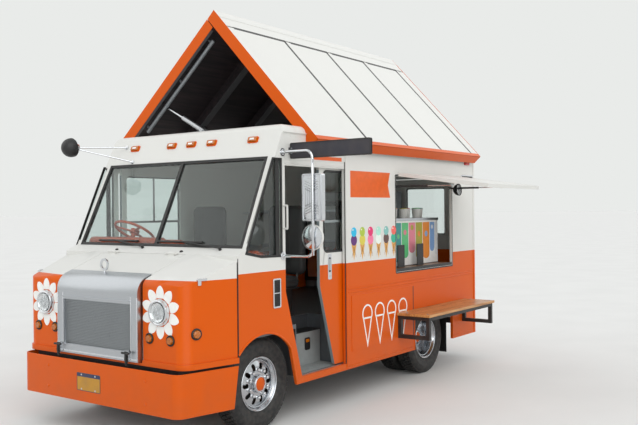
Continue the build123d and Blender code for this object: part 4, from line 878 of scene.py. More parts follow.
# Places of the cones along the side, in the row and on the lower panel; then each one's upper and lower scoop
FIRST_CONE, CONE_PITCH = -1.305, 0.152
OUTLINED_CONES = (-1.53, -1.765, -2.0, -2.235)
CONE_COLOURS = (("#12b4dd", "#571b6d"), ("#a9c13c", "#d8c94a"), ("#e0226b", "#f07ba0"),
                ("#a8e0cd", "#e9f3ea"), ("#7fb9b3", "#5a3a34"), ("#f0665a", "#1fae8d"))


class TRUCK_OT_side_prints(Operator):
    """Lays the plain pennant, the row of ice cream cones and the outlined cones on the left side"""
    bl_idname = "truck.side_prints"
    bl_label = "Side prints"

    def execute(self, context):
        at = side_face(1)
        flags = Piece("blank_pennant")
        flags.prism(((-1.25, 2.01), (-1.25, 2.27), (-2.0, 2.27), (-1.955, 2.14), (-2.0, 2.01)), at,
                    -0.0005, 0.0012, "orange_film")
        flags.prism(round_box(0.469, 0.037, 0.004, 3, (-0.8685, 2.3675)), at, -0.0005, 0.0014, "orange_film")
        flags.done()
        cones = Piece("cone_row")
        for i, (upper, lower) in enumerate(CONE_COLOURS):
            x = FIRST_CONE - i * CONE_PITCH
            printed_film(f"ink_{i}_top", upper)
            printed_film(f"ink_{i}_low", lower)
            cones.prism(((x - 0.044, 1.548), (x, 1.392), (x + 0.044, 1.548)), at, -0.0005, 0.001,
                        "wafer_film")
            for j in range(3):
                for lean in (-1, 1):
                    a = x + lean * (0.026 - 0.017 * j)
                    b, top, foot = a - lean * 0.03, 1.545 - 0.02 * j, 1.47 - 0.025 * j
                    cones.prism(((a - 0.002, top), (a + 0.002, top), (b + 0.002, foot), (b - 0.002, foot)),
                                at, 0.001, 0.0013, "wafer_line_film")
            cones.prism(circle(0.053, 32, (x, 1.588)), at, -0.0005, 0.0014, f"ink_{i}_low")
            cones.prism(circle(0.047, 32, (x, 1.668)), at, -0.0005, 0.0018, f"ink_{i}_top")
            cones.prism(circle(0.0085, 16, (x + 0.018, 1.69)), at, 0.0016, 0.0021, "white_film")
        cones.done()
        lines = Piece("cone_outlines")
        panel = side_face(1, BODY_HALF + 0.005)
        flat = square(0.017, 0.0014, 0, 0.0005)
        for x in OUTLINED_CONES:
            turns = [-0.1 * pi + 1.2 * pi * k / 12 for k in range(13)]
            scoop = [(x + 0.086 * cos(a), 0.845 + 0.086 * sin(a)) for a in turns]
            lines.rim(panel, scoop + [(x - 0.07, 0.79), (x, 0.535), (x + 0.07, 0.79)], flat, "white_film")
            lines.strip(panel, [(x - 0.07, 0.803), (x + 0.07, 0.803)], flat, "white_film")
        lines.done()
        return {"FINISHED"}


def nose_side(side, x, z):
    """A plane on the nose's tapered side: local x forward, y up and z outwards."""
    y = side * (NOSE_HALF + (NOSE_X - x) * NOSE_TAPER)
    at = Matrix(((1, 0, NOSE_TAPER), (-side * NOSE_TAPER, 0, side), (0, 1, 0))).to_4x4()
    at.translation = (x, y, z)
    return at


def nose_front(y):
    """The nose's front face, which turns back round its corners."""
    over = max(0.0, abs(y) - NOSE_CORNER_Y)
    return NOSE_X - NOSE_CORNER_R + max(0.0, NOSE_CORNER_R ** 2 - over ** 2) ** 0.5


class TRUCK_OT_nose_trim(Operator):
    """Adds the nose's latches, side markers, washer nozzles and the dark closing strip over the bumper, which
    paints in the shade inside that gap
    """
    bl_idname = "truck.nose_trim"
    bl_label = "Nose trim"

    def execute(self, context):
        for side, word in SIDES:
            trim = Piece(f"nose_fittings_{word}")
            marker = nose_side(side, 0.788, 0.93)
            trim.turn(((0.0, 0.0), (0.046, 0.0), (0.046, 0.009), (0.036, 0.014), (0.034, 0.006),
                       (0.0, 0.006)), marker, "black_abs")
            trim.turn(((0.0, 0.005), (0.034, 0.005), (0.03, 0.018), (0.016, 0.024), (0.0, 0.025)), marker,
                      "amber_lens")
            # Over-centre latch that holds the lid down at its corner
            latch = nose_side(side, 0.738, 1.352)
            trim.prism(round_box(0.085, 0.02, 0.006, 3), latch, -0.004, 0.014, "bright_chrome")
            trim.prism(round_box(0.03, 0.05, 0.006, 3, (0.02, -0.02)), latch, -0.002, 0.01, "bright_chrome")
            # Seam with the cab, and a rubber strip behind it
            trim.block((SEAM_X - 0.001, SEAM_X + 0.003), (side * 1.09, side * 1.1035), (0.7, 1.47),
                       "seal_rubber")
            nozzle = plane_at((0.36, side * 0.42, 1.54), (1, 0, 0), (0, 1, 0))
            trim.turn(((0.0, -0.004), (0.016, -0.004), (0.014, 0.008), (0.006, 0.012), (0.0, 0.013)),
                      nozzle, "black_abs")
            trim.done(edge=FITTING_EDGE)
        # Dark strip of painted shade inside the gap between the nose's foot and the bumper: black rubber that
        # stands for the shadow in the gap
        gap = Piece("bumper_gap_painted_shade")
        half = [(0.42, -1.04), (0.8, -0.955), (0.868, -0.9), (0.875, -0.8)]
        outline = half + [(x, -y) for x, y in reversed(half)]
        gap.strip(Matrix.Translation((0, 0, 0.63)), outline, square(0.006, 0.08), "seal_rubber")
        gap.done()
        return {"FINISHED"}


# Places of the turn lamps on the nose, and of the header's lamps up the windshield's plane and across it
TURN_LAMP_YS, TURN_LAMP_Z = (0.607, 0.845), 0.88
HEADER_LAMP_YS, HEADER_LAMP_RISE = (-0.751, -0.228, 0.035, 0.301, 0.808), 1.04
# Petals round each headlamp: how many, how far out they start, and their length
PETALS, PETAL_START, PETAL_LENGTH = 10, 0.111, 0.1


class TRUCK_OT_lamps(Operator):
    """Adds the headlamps' bezels, fluted lenses and white petals, and the turn lamps' rubber rings"""
    bl_idname = "truck.lamps"
    bl_label = "Lamps"

    def execute(self, context):
        for side, word in SIDES:
            lamp = Piece(f"headlamp_{word}")
            at = front_face(NOSE_X, side * LAMP_Y, LAMP_Z)
            lamp.turn(((0.078, 0.02), (0.084, 0.034), (0.092, 0.038), (0.1, 0.034), (0.106, 0.02),
                       (0.108, 0.0), (0.098, 0.0), (0.09, 0.02)), at, "bright_chrome", 64)
            lamp.turn(((0.0, 0.008), (0.02, 0.0085), (0.04, 0.0125), (0.058, 0.02), (0.072, 0.029),
                       (0.08, 0.037)), at, "lamp_silver", 64)
            lamp.turn(((0.0, 0.026), (0.014, 0.024), (0.016, 0.012), (0.0, 0.012)), at, "bright_chrome", 24)
            lamp.done()
            lens = Piece(f"headlamp_lens_{word}")
            lens.turn(((0.0, 0.05), (0.03, 0.0485), (0.056, 0.044), (0.074, 0.038), (0.083, 0.033),
                       (0.083, 0.03), (0.074, 0.034), (0.056, 0.04), (0.03, 0.0445), (0.0, 0.046)),
                      at, "lamp_glass", 64)
            for i in range(-6, 7):
                y = i * 0.012
                reach = (0.078 ** 2 - y ** 2) ** 0.5
                spots = [(y, reach * k / 6) for k in range(-6, 7)]
                rib = [(a, b, 0.0315 + 0.0165 * (1 - (a * a + b * b) / 0.0069)) for a, b in spots]
                lens.pipe([at @ Vector(spot) for spot in rib], 0.0016, "lamp_glass", 5)
            lens.done()
            # Ten plain rounded petals of film, which follow the nose round its corner
            ring = Piece(f"headlamp_petals_{word}")
            for i in range(PETALS):
                a = 2 * pi * (i + 0.5) / PETALS
                sections = []
                for share in (k / 12 for k in range(13)):
                    r = PETAL_START + PETAL_LENGTH * share
                    half = max(0.004, 0.043 * sin(pi * (0.22 + 0.78 * share)) ** 0.55)
                    y, z = side * LAMP_Y + r * cos(a), LAMP_Z + r * sin(a)
                    edges = [half * e for e in (-1, -0.33, 0.33, 1)]
                    spots = [(y - e * sin(a), z + e * cos(a)) for e in edges]
                    sections.append([(nose_front(y) + 0.002, y, z) for y, z in spots] +
                                    [(nose_front(y) - 0.002, y, z) for y, z in reversed(spots)])
                ring.loft(sections, "white_film")
            ring.done()
            turns = Piece(f"turn_lamp_rings_{word}")
            for y in TURN_LAMP_YS:
                here = front_face(NOSE_X, side * y, TURN_LAMP_Z)
                turns.turn(((0.034, -0.001), (0.044, -0.001), (0.044, 0.008), (0.038, 0.013), (0.034, 0.01)),
                           here, "black_abs", 40)
            turns.done()
        # Orange seats under the header's five lamps, and a painted highlight: a pale spot of white film in
        # each lens
        seat = Piece("clearance_lamp_seats")
        at = windshield_face()
        for y in HEADER_LAMP_YS:
            spot = (y * 0.99, HEADER_LAMP_RISE)
            seat.rim(at, round_box(0.108, 0.052, 0.01, 4, spot), square(0.012, 0.01), "orange_enamel", 0.002)
            # Painted highlight of white film inside the lens
            seat.prism(round_box(0.05, 0.018, 0.004, 3, spot), at, 0.0238, 0.0255, "white_film")
        seat.done()
        return {"FINISHED"}


class TRUCK_OT_grille(Operator):
    """Replaces the coarse screen with woven wire, and adds the insect screen, trim and hood latches"""
    bl_idname = "truck.grille"
    bl_label = "Grille"

    def execute(self, context):
        pitch = context.scene.truck_sizes.mesh
        half, low, high, x = 0.438, 0.748, 1.152, GRILLE_X - 0.016
        screen = Piece("wire_screen")
        count = int(2 * half / pitch)
        for i in range(count + 1):
            y = -half + 2 * half * i / count
            screen.block((x - 0.0015, x + 0.001), (y - 0.0022, y + 0.0022), (low, high), "wire_zinc")
        count = int((high - low) / pitch)
        for i in range(count + 1):
            z = low + (high - low) * i / count
            screen.block((x - 0.0005, x + 0.002), (-half, half), (z - 0.0022, z + 0.0022), "wire_zinc")
        at = front_face(x)
        screen.rim(at, round_box(2 * half, high - low, 0.02, 4, (0, (low + high) / 2)),
                   square(0.018, 0.008), "bright_chrome")
        made = screen.done(body="hood")
        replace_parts(made, "grille_screen")
        core = Piece("insect_screen")
        core.block((x - 0.03, x - 0.026), (-half, half), (low, high), "wire_zinc")
        core.done(body="hood")
        trim = Piece("grille_trim")
        # Rolled lip over the screen, edge beads on both cheeks, and a lip along the foot
        trim.strip(front_face(GRILLE_X + 0.002), [(-0.432, 1.168), (0.432, 1.168)], square(0.012, 0.02),
                   "grille_stainless")
        for y in (-0.436, 0.436, -0.508, 0.508):
            trim.strip(front_face(GRILLE_X), [(y, 0.69), (y, 1.2)], square(0.009, 0.006), "bright_chrome")
        trim.strip(front_face(GRILLE_X), [(-0.508, 0.7), (0.508, 0.7)], square(0.012, 0.008), "bright_chrome")
        trim.done(body="hood", edge=FITTING_EDGE)
        latches = Piece("rubber_hood_latches")
        for y in (-0.478, 0.4):
            face = GRILLE_X + 0.018
            latches.block((GRILLE_X, face + 0.006), (y - 0.02, y + 0.02), (0.69, 0.765), "black_abs")
            latches.pipe([(face + 0.012, y - 0.045, 0.752), (face + 0.012, y + 0.045, 0.752)], 0.009,
                         "black_abs", 12)
            latches.pipe([(face + 0.006, y, 0.75), (face + 0.01, y, 0.705), (face + 0.004, y, 0.668),
                          (face - 0.006, y, 0.652)], 0.011, "seal_rubber", 12)
        latches.done(body="hood", edge=0.002)
        return {"FINISHED"}


# Width and height of a number plate
PLATE = (0.305, 0.152)
# The bumper's corner: middle, outer radius and where its side starts; then its wall
BUMPER_CORNER, BUMPER_R, BUMPER_TURN, BUMPER_T = (0.878, 0.908), 0.09, radians(76.9), 0.01


def bumper_plan(back, r):
    """The bumper's line from its left wing's back end round to the right wing's."""
    lean = hypot(1, NOSE_TAPER)
    foot = BUMPER_CORNER[1] + r * lean + (BUMPER_CORNER[0] - back) * NOSE_TAPER
    turns = [BUMPER_TURN * i / 8 for i in range(8, -1, -1)]
    corner = [(BUMPER_CORNER[0] + r * cos(a), BUMPER_CORNER[1] + r * sin(a)) for a in turns]
    half = [(back, foot)] + corner
    return half + [(x, -y) for x, y in reversed(half)]


class TRUCK_OT_bumper(Operator):
    """Replaces the bumper with one whose wings flare with the nose, and adds its bolts and blank plate"""
    bl_idname = "truck.bumper"
    bl_label = "Front bumper"

    def execute(self, context):
        bumper = Piece("flared_bumper")
        low, high = span("front_bumper")
        levels = []
        for z, back in ((low.z, 0.45), (high.z, 0.405)):
            wall = bumper_plan(back, BUMPER_R) + list(reversed(bumper_plan(back, BUMPER_R - BUMPER_T)))
            levels.append([(x, y, z) for x, y in wall])
        bumper.loft(levels, "orange_enamel")
        for y in (-0.43, 0.43):
            bumper.block((0.82, BUMPER_X - 0.012), (y - 0.033, y + 0.033), (0.5, 0.62), "black_steel")
            for z in (0.37, 0.55):
                bumper.turn(((0.0, -0.002), (0.015, -0.002), (0.014, 0.003), (0.009, 0.006), (0.0, 0.007)),
                            front_face(BUMPER_X, y * 1.45, z), "orange_enamel", 20)
        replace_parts(bumper.done(edge=0.003), "front_bumper")
        at = front_face(BUMPER_X, -0.072, 0.458)
        plate = Piece("blank_plate")
        plate.prism(round_box(*PLATE, 0.012, 5), at, 0.0005, 0.0022, "plate_gold")
        plate.prism(round_box(PLATE[0] - 0.012, 0.03, 0.004, 3, (0, 0.058)), at, 0.0022, 0.0026, "plate_blue")
        plate.rim(at, round_box(PLATE[0] - 0.006, PLATE[1] - 0.006, 0.01, 5), square(0.004, 0.0016),
                  "plate_blue", 0.0026)
        for x in (-0.089, 0.089):
            for y in (-0.0605, 0.0605):
                plate.turn(((0.0, 0.0), (0.008, 0.002), (0.0075, 0.005), (0.004, 0.0068), (0.0, 0.007)),
                           at @ Matrix.Translation((x, y, 0)), "bright_chrome", 16)
        plate.done()
        return {"FINISHED"}


# Where each wheel's tyres stand: body, node, axle x, middles along y, side, and whether it is a front wheel
WHEELS = [(f"wheel_front_{word}", f"front_tyre_{word}", 0.0, (FRONT_WHEEL_Y * side,), side, True)
          for side, word in SIDES]
WHEELS += [(f"wheel_rear_{word}", f"rear_tyres_{word}", REAR_AXLE_X,
            (REAR_OUTER_Y * side, REAR_INNER_Y * side), side, False) for side, word in SIDES]
# The tread: depth of its grooves, blocks in a row, and each row's edges across the tyre and shift in blocks
GROOVE = 0.011
TREAD_BLOCKS = 54
TREAD_ROWS = ((-0.078, -0.047, 0.0), (-0.041, -0.005, 0.5), (0.005, 0.041, 0.0), (0.047, 0.078, 0.5))


class TRUCK_OT_tyres(Operator):
    """Replaces the plain tyres with ones that have tread blocks and sidewall ribs"""
    bl_idname = "truck.tyres"
    bl_label = "Tyres"

    def execute(self, context):
        half = TYRE_W / 2
        base = TYRE_R - GROOVE
        wall = ((0.229, 0.072), (0.236, 0.08), (0.262, 0.094), (0.268, 0.0985), (0.274, 0.0975), (0.3, 0.104),
                (0.322, half - 0.001), (0.326, half), (0.33, half - 0.001), (0.352, 0.103), (0.372, 0.0945),
                (base - 0.004, 0.084), (base, 0.078))
        profile = [*wall, *((r, -h) for r, h in reversed(wall))]
        for body, cad_node, x, middles, _, _ in WHEELS:
            tyre = Piece(f"{cad_node}_tread")
            for y in middles:
                at = plane_at((x, y, TYRE_R), (1, 0, 0), (0, 0, 1))
                tyre.turn(profile, at, "tyre_rubber", 72)
                for low, high, shift in TREAD_ROWS:
                    for i in range(TREAD_BLOCKS):
                        a = 2 * pi * (i + shift) / TREAD_BLOCKS
                        radial = Vector((cos(a), 0, sin(a)))
                        ground = plane_at(Vector((x, y, TYRE_R)) + radial * (base - 0.002), (0, 1, 0),
                                          (-radial.z, 0, radial.x))
                        tip = 0.0185 if abs(low) > 0.045 or abs(high) > 0.045 else 0.0165
                        tyre.prism(((low, -tip), (high, -tip + 0.005), (high, tip + 0.005), (low, tip)),
                                   ground, 0.0, GROOVE + 0.0019, "tyre_rubber")
            made = tyre.done(body=body, smooth=30)
            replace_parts(made, cad_node)
        return {"FINISHED"}


# Wheel nuts: how many, the radius on which they sit, and the turn of the first one
NUTS, NUT_CIRCLE, NUT_TURN = 10, 0.119, 0.314


class TRUCK_OT_wheel_trim(Operator):
    """Adds the wheels' nuts, rim beads, hub caps, valves and the brake drums behind them"""
    bl_idname = "truck.wheel_trim"
    bl_label = "Wheel trim"

    def execute(self, context):
        for body, _, x, middles, side, front in WHEELS:
            outer = middles[0]
            disc = outer + side * 0.062 if front else sum(middles) / 2 + side * 0.012
            end = outer + side * 0.0965 if front else sum(middles) / 2 + side * 0.1105
            trim = Piece(f"{body}_trim")
            out, edge, cap, back = [plane_at((x, y, TYRE_R), (1, 0, 0), (0, 0, -side))
                                    for y in (disc, outer, end, min(middles, key=abs))]
            for i in range(NUTS):
                a = 2 * pi * i / NUTS + NUT_TURN
                spot = out @ Matrix.Translation((NUT_CIRCLE * cos(a), NUT_CIRCLE * sin(a), 0))
                trim.turn(((0.0, -0.002), (0.02, -0.002), (0.02, 0.005), (0.0175, 0.006), (0.0155, 0.022),
                           (0.011, 0.029), (0.0, 0.032)), spot, "bright_chrome", 12)
            trim.turn(((0.2265, 0.074), (0.2335, 0.078), (0.2355, 0.0845), (0.231, 0.088), (0.2255, 0.084)),
                      edge, "rim_chrome", 72)
            trim.turn(((0.197, 0.05), (0.203, 0.054), (0.203, 0.06), (0.197, 0.058)), edge, "rim_chrome", 72)
            trim.turn(((0.0, 0.006), (0.03, 0.0055), (0.05, 0.003), (0.058, -0.004), (0.058, -0.012),
                       (0.0, -0.012)), cap, "orange_enamel", 48)
            trim.turn(((0.058, -0.01), (0.066, -0.008), (0.066, 0.001), (0.06, 0.003), (0.058, 0.0)), cap,
                      "bright_chrome", 48)
            valve = Vector((x + 0.175, outer + side * 0.046, TYRE_R + 0.02))
            trim.pipe([valve, valve + Vector((0.006, side * 0.035, 0.003))], 0.0045, "bright_chrome", 8)
            trim.done(body=body, edge=FITTING_EDGE)
            # Brake drum inside the rim, which turns with the wheel
            drum = Piece(f"{body}_drum")
            low, high = (-0.085, -0.012) if front else (-0.09, 0.02)
            drum.turn(((0.066, low), (0.185, low), (0.192, low + 0.008), (0.192, low + 0.018),
                       (0.187, low + 0.02), (0.187, high - 0.012), (0.175, high), (0.066, high)),
                      back, "axle_iron", 48)
            drum.done(body=body, edge=FITTING_EDGE)
        return {"FINISHED"}


class TRUCK_OT_mirror_trim(Operator):
    """Adds the mirrors' glass, embossed back, clamps and arm feet"""
    bl_idname = "truck.mirror_trim"
    bl_label = "Mirror trim"

    def execute(self, context):
        trim = Piece("mirror_fittings")
        face, rear = front_face(-0.17), back_face(-0.22)
        y, low, high, centre = 1.434, 1.795, 2.197, 1.996
        # The back's raised rim, two groups of chevrons and the ribs between them
        trim.rim(face, round_box(0.188, high - low - 0.02, 0.014, 5, (y, centre)),
                 square(0.01, 0.008, 0, 0.003), "mill_aluminium")
        for i in range(4):
            for z, lean in ((high - 0.06 - i * 0.022, -0.03), (low + 0.06 + i * 0.022, 0.03)):
                trim.strip(face, [(y - 0.07, z), (y, z + lean), (y + 0.07, z)],
                           square(0.009, 0.006, 0, 0.002), "mill_aluminium")
        for i in range(-3, 4):
            trim.strip(face, [(y + i * 0.02, 1.915), (y + i * 0.02, 2.075)], square(0.008, 0.006, 0, 0.002),
                       "mill_aluminium")
        trim.prism(round_box(0.186, high - low - 0.02, 0.012, 5, (-y, centre)), rear, -0.001, 0.0015,
                   "mirror_glass")
        round_y, round_z = 1.418, 1.658
        spot = front_face(-0.188, round_y, round_z)
        trim.turn(((0.0, 0.02), (0.05, 0.016), (0.085, 0.006), (0.1, -0.002), (0.0, -0.002)), spot,
                  "bright_chrome", 48)
        trim.turn(((0.098, -0.004), (0.108, -0.004), (0.111, -0.014), (0.108, -0.026), (0.098, -0.026)), spot,
                  "white_enamel", 48)
        trim.prism(circle(0.096, 48, (-round_y, round_z)), back_face(-0.216), -0.001, 0.002, "mirror_glass")
        # The upright runs in front of both backs
        trim.pipe([(-0.189, 1.43, 2.32), (-0.17, 1.443, 2.29), (-0.152, 1.456, 2.25), (-0.15, 1.457, 2.22),
                   (-0.15, 1.457, 1.6), (-0.152, 1.456, 1.57), (-0.17, 1.443, 1.53), (-0.189, 1.43, 1.51)],
                  0.011, "bright_chrome", 14)
        # Clamps on the upright tube, and a flange where each arm meets the wall
        for z in (1.64, 1.83, 2.165):
            trim.block((-0.212, -0.166), (1.395, 1.452), (z - 0.011, z + 0.011), "bright_chrome")
            trim.pipe([(-0.189, 1.44, z - 0.018), (-0.189, 1.44, z + 0.018)], 0.006, "zinc_steel", 8)
        for z in (1.493, 2.395):
            trim.turn(((0.0, 0.0), (0.036, 0.0), (0.036, 0.005), (0.024, 0.007), (0.02, 0.02), (0.0, 0.02)),
                      side_face(1, x=-0.19, z=z), "bright_chrome", 32)
        # Dark shell on the round far mirror, its glass facing back
        far = plane_at((0.3, -1.159, 2.526), (0, 1, 0), (0.2, 0, 1))
        shell = [(0.0935 * sin(pi / 2 * i / 8), 0.0935 * cos(pi / 2 * i / 8)) for i in range(9)]
        trim.turn(shell + [(0.0935, -0.02), (0.0895, -0.02)], far, "black_abs", 40)
        trim.done(edge=FITTING_EDGE)
        return {"FINISHED"}


# The leaves' slopes, lengths up the slope and thickness
NEAR_SLOPE = atan2(RIDGE[1] - NEAR_EAVE[1], NEAR_EAVE[0] - RIDGE[0])
NEAR_RUN = hypot(NEAR_EAVE[0] - RIDGE[0], RIDGE[1] - NEAR_EAVE[1])
FAR_RUN = (span("roof_leaf_far")[1].z - FAR_EAVE[1]) / sin(FAR_SLOPE)
LEAF_T = 0.105
# Each leaf: body, word, eave, slope, run and side
LEAVES = (("body", "near", NEAR_EAVE, NEAR_SLOPE, NEAR_RUN, 1),
          ("far_leaf", "far", FAR_EAVE, FAR_SLOPE, FAR_RUN, -1))
# Joints between the cover sheets along the truck, and the joint up the slope under the ridge sheet
SHEET_JOINTS = (-3.755, -2.97, -2.21, -1.44)
RIDGE_JOINT = 1.6


def leaf_face(eave, slope, side):
    """A roof leaf's outer face from its eave: local x along the truck, y up the slope, z outwards."""
    return plane_at((0, eave[0], eave[1]), (-side, 0, 0), (0, -side * cos(slope), sin(slope)))


class TRUCK_OT_roof_cladding(Operator):
    """Clads both roof leaves with white sheets, orange fascias and a ridge cap, and faces the rafters"""
    bl_idname = "truck.roof_cladding"
    bl_label = "Roof cladding"

    def execute(self, context):
        gap = context.scene.truck_sizes.joint
        edges = [LEAF_X[0], *SHEET_JOINTS, LEAF_X[1]]
        for body, word, eave, slope, run, side in LEAVES:
            at = leaf_face(eave, slope, side)

            def bay(x0, x1, y0, y1):
                """A rectangle on the leaf between two places along the truck and two up the slope."""
                return rect(-side * x0, -side * x1, y0, y1)

            sheets = Piece(f"roof_sheets_{word}")
            seals = Piece(f"roof_joint_seals_{word}")
            for a, b in zip(edges, edges[1:]):
                left, right = a + (gap / 2 if a != edges[0] else 0), b - (gap / 2 if b != edges[-1] else 0)
                sheets.prism(bay(left, right, 0.05, RIDGE_JOINT - gap / 2), at, -0.001, 0.006, "white_enamel")
                # Drip edge at the foot of each sheet
                sheets.strip(at, [(-side * left, 0.052), (-side * right, 0.052)], square(0.012, 0.006),
                             "white_enamel", 0.006)
                # Each dark joint runs up between two sheets and turns forward under the ridge sheet
                if a != edges[0]:
                    seals.prism(bay(a + side * gap / 2, a - side * gap / 2, 0.051, RIDGE_JOINT), at, -0.001,
                                0.0072, "seal_rubber")
                start = a + (0.1 if a == edges[0] else -gap / 2)
                seals.prism(bay(start, b - 0.1, RIDGE_JOINT - gap, RIDGE_JOINT), at, -0.001, 0.0072,
                            "seal_rubber")
            # One sheet runs the whole length along the ridge
            sheets.prism(bay(*LEAF_X, RIDGE_JOINT, run - 0.01), at, -0.001, 0.006, "white_enamel")
            sheets.done(body=body, edge=TRIM_EDGE)
            seals.done(body=body)
            boards = Piece(f"roof_fascias_{word}")
            for x, step in ((LEAF_X[1], 0.005), (LEAF_X[0], -0.005)):
                boards.prism(bay(x, x + step, 0.0, run), at, -LEAF_T - 0.002, 0.009, "orange_enamel")
            for top, low in ((0.048, 0.0), (0.0, -LEAF_T)):
                boards.prism(bay(*LEAF_X, -0.005, top), at, low, 0.007, "orange_enamel")
            boards.done(body=body, edge=FITTING_EDGE)
            # Faces of the rafters and edge boards on the underside, dark grey: painted shade under the leaves
            frames = Piece(f"rafter_faces_{word}")
            pitch = (LEAF_X[1] - LEAF_X[0] + 0.02) / 4
            start = 0.34 if word == "near" else 0.05
            spots = [(LEAF_X[0] - 0.01 + pitch * i, 0.098) for i in range(1, 4)]
            spots += [(LEAF_X[0] + 0.02, 0.038), (LEAF_X[1] - 0.02, 0.038)]
            for x, w in spots:
                frames.prism(bay(x - w / 2, x + w / 2, start, run - 0.04), at, -LEAF_T - 0.003,
                             -LEAF_T + 0.001, "rafter_painted_shade")
            if word == "far":
                # Steel bar that braces the far leaf behind its front edge
                x = -side * (LEAF_X[1] - 0.075)
                drop = -LEAF_T - 0.045
                frames.pipe([at @ Vector((x, y, drop)) for y in (0.3, run - 0.12)], 0.02, "zinc_steel", 12)
                for y in (0.34, 1.0, run - 0.16):
                    stay = [at @ Vector((x, y, h)) for h in (drop, -LEAF_T + 0.01)]
                    frames.pipe(stay, 0.012, "zinc_steel", 10)
            frames.done(body=body, edge=FITTING_EDGE)
        cap = Piece("ridge_cap")
        at = leaf_face(NEAR_EAVE, NEAR_SLOPE, 1)
        for y, low, high in ((NEAR_RUN - 0.1, 0.006, 0.009), (NEAR_RUN + 0.0005, -0.085, 0.009)):
            cap.prism(rect(-LEAF_X[1], -LEAF_X[0], y, NEAR_RUN + 0.004), at, low, high, "white_enamel")
        cap.done(edge=FITTING_EDGE)
        return {"FINISHED"}


# The open hatch: how far it droops, and its hinge's place
HATCH_DROOP = radians(8)
HATCH_MID = sum(SERVE_X) / 2
HATCH_HINGE = (HATCH_MID, 1.131, 2.262)


def hatch_face(lift=0.0):
    """The hatch's own plane at its hinge line: local x forward, y towards its free edge, z up."""
    at = plane_at(HATCH_HINGE, (1, 0, 0), (0, cos(HATCH_DROOP), -sin(HATCH_DROOP)))
    return at @ Matrix.Translation((0, 0, lift))


class TRUCK_OT_hatch_trim(Operator):
    """Adds the hatch's lining and edge channel, the window's frame and the round lamp in its corner"""
    bl_idname = "truck.hatch_trim"
    bl_label = "Hatch trim"

    def execute(self, context):
        trim = Piece("hatch_fittings")
        half, start, end = (SERVE_X[1] - SERVE_X[0]) / 2 + 0.02, 0.022, 1.05
        centre = (start + end) / 2
        # Lining panels in the lighter laminate, which paints light on the hatch
        for x in (-half / 2, half / 2):
            trim.prism(round_box(half - 0.066, end - start - 0.086, 0.01, 3, (x, centre)), hatch_face(),
                       0.0015, 0.006, "hatch_laminate_painted_light")
        trim.rim(hatch_face(), round_box(2 * half, end - start, 0.012, 4, (0, centre)),
                 square(0.006, 0.039, 0.002, -0.0025), "white_enamel")
        trim.done(body="hatch", edge=FITTING_EDGE)
        frame_piece = Piece("serving_window_frame")
        centre = (HATCH_MID, sum(SERVE_Z) / 2)
        w, h = SERVE_X[1] - SERVE_X[0], SERVE_Z[1] - SERVE_Z[0]
        frame_piece.rim(side_face(1), round_box(w + 0.018, h + 0.018, 0.012, 4, centre),
                        square(0.014, 0.0025, 0, 0.0005), "seal_rubber")
        frame_piece.rim(side_face(1), round_box(w + 0.002, h + 0.002, 0.006, 3, centre),
                        square(0.004, 0.03), "white_enamel", -0.014)
        frame_piece.done()
        # Round work lamp that hangs under the hatch, near its hinge
        lamp = Piece("work_lamp")
        x, y = -0.545, 0.13
        spot = hatch_face(-0.135) @ Matrix.Translation((x, y, 0)) @ Matrix.Rotation(radians(-78), 4, "X")
        lamp.turn(((0.0, -0.055), (0.03, -0.05), (0.058, -0.025), (0.068, 0.0), (0.072, 0.016), (0.066, 0.02),
                   (0.063, 0.01), (0.0, 0.004)), spot, "black_abs", 40)
        lamp.turn(((0.0, 0.006), (0.061, 0.012), (0.061, 0.015), (0.0, 0.011)), spot, "lamp_glass", 40)
        stem = [hatch_face() @ Vector((x, y, z)) for z in (-0.065, -0.03, 0.002)]
        lamp.pipe(stem, 0.009, "black_steel", 10)
        lamp.done(body="hatch", edge=FITTING_EDGE)
        return {"FINISHED"}


# Tops of the floor, of the steel shelf over the counter's ledge, and of the shelves on the far wall
FLOOR_Z, LEDGE_SHELF_Z, BACK_SHELVES_Z = 0.863, 1.785, (1.45, 1.85)
# Width and colour of each plain stripe behind the counter's ledge, from its rear end forward
STRIPES = ((0.077, "#d9dcdc"), (0.125, "#7fa2cf"), (0.172, "#e2882c"), (0.167, "#a8a127"), (0.162, "#e07f90"),
           (0.158, "#58bd78"), (0.14, "#2f8f8d"), (0.145, "#e2607a"), (0.146, "#7fa2cf"))


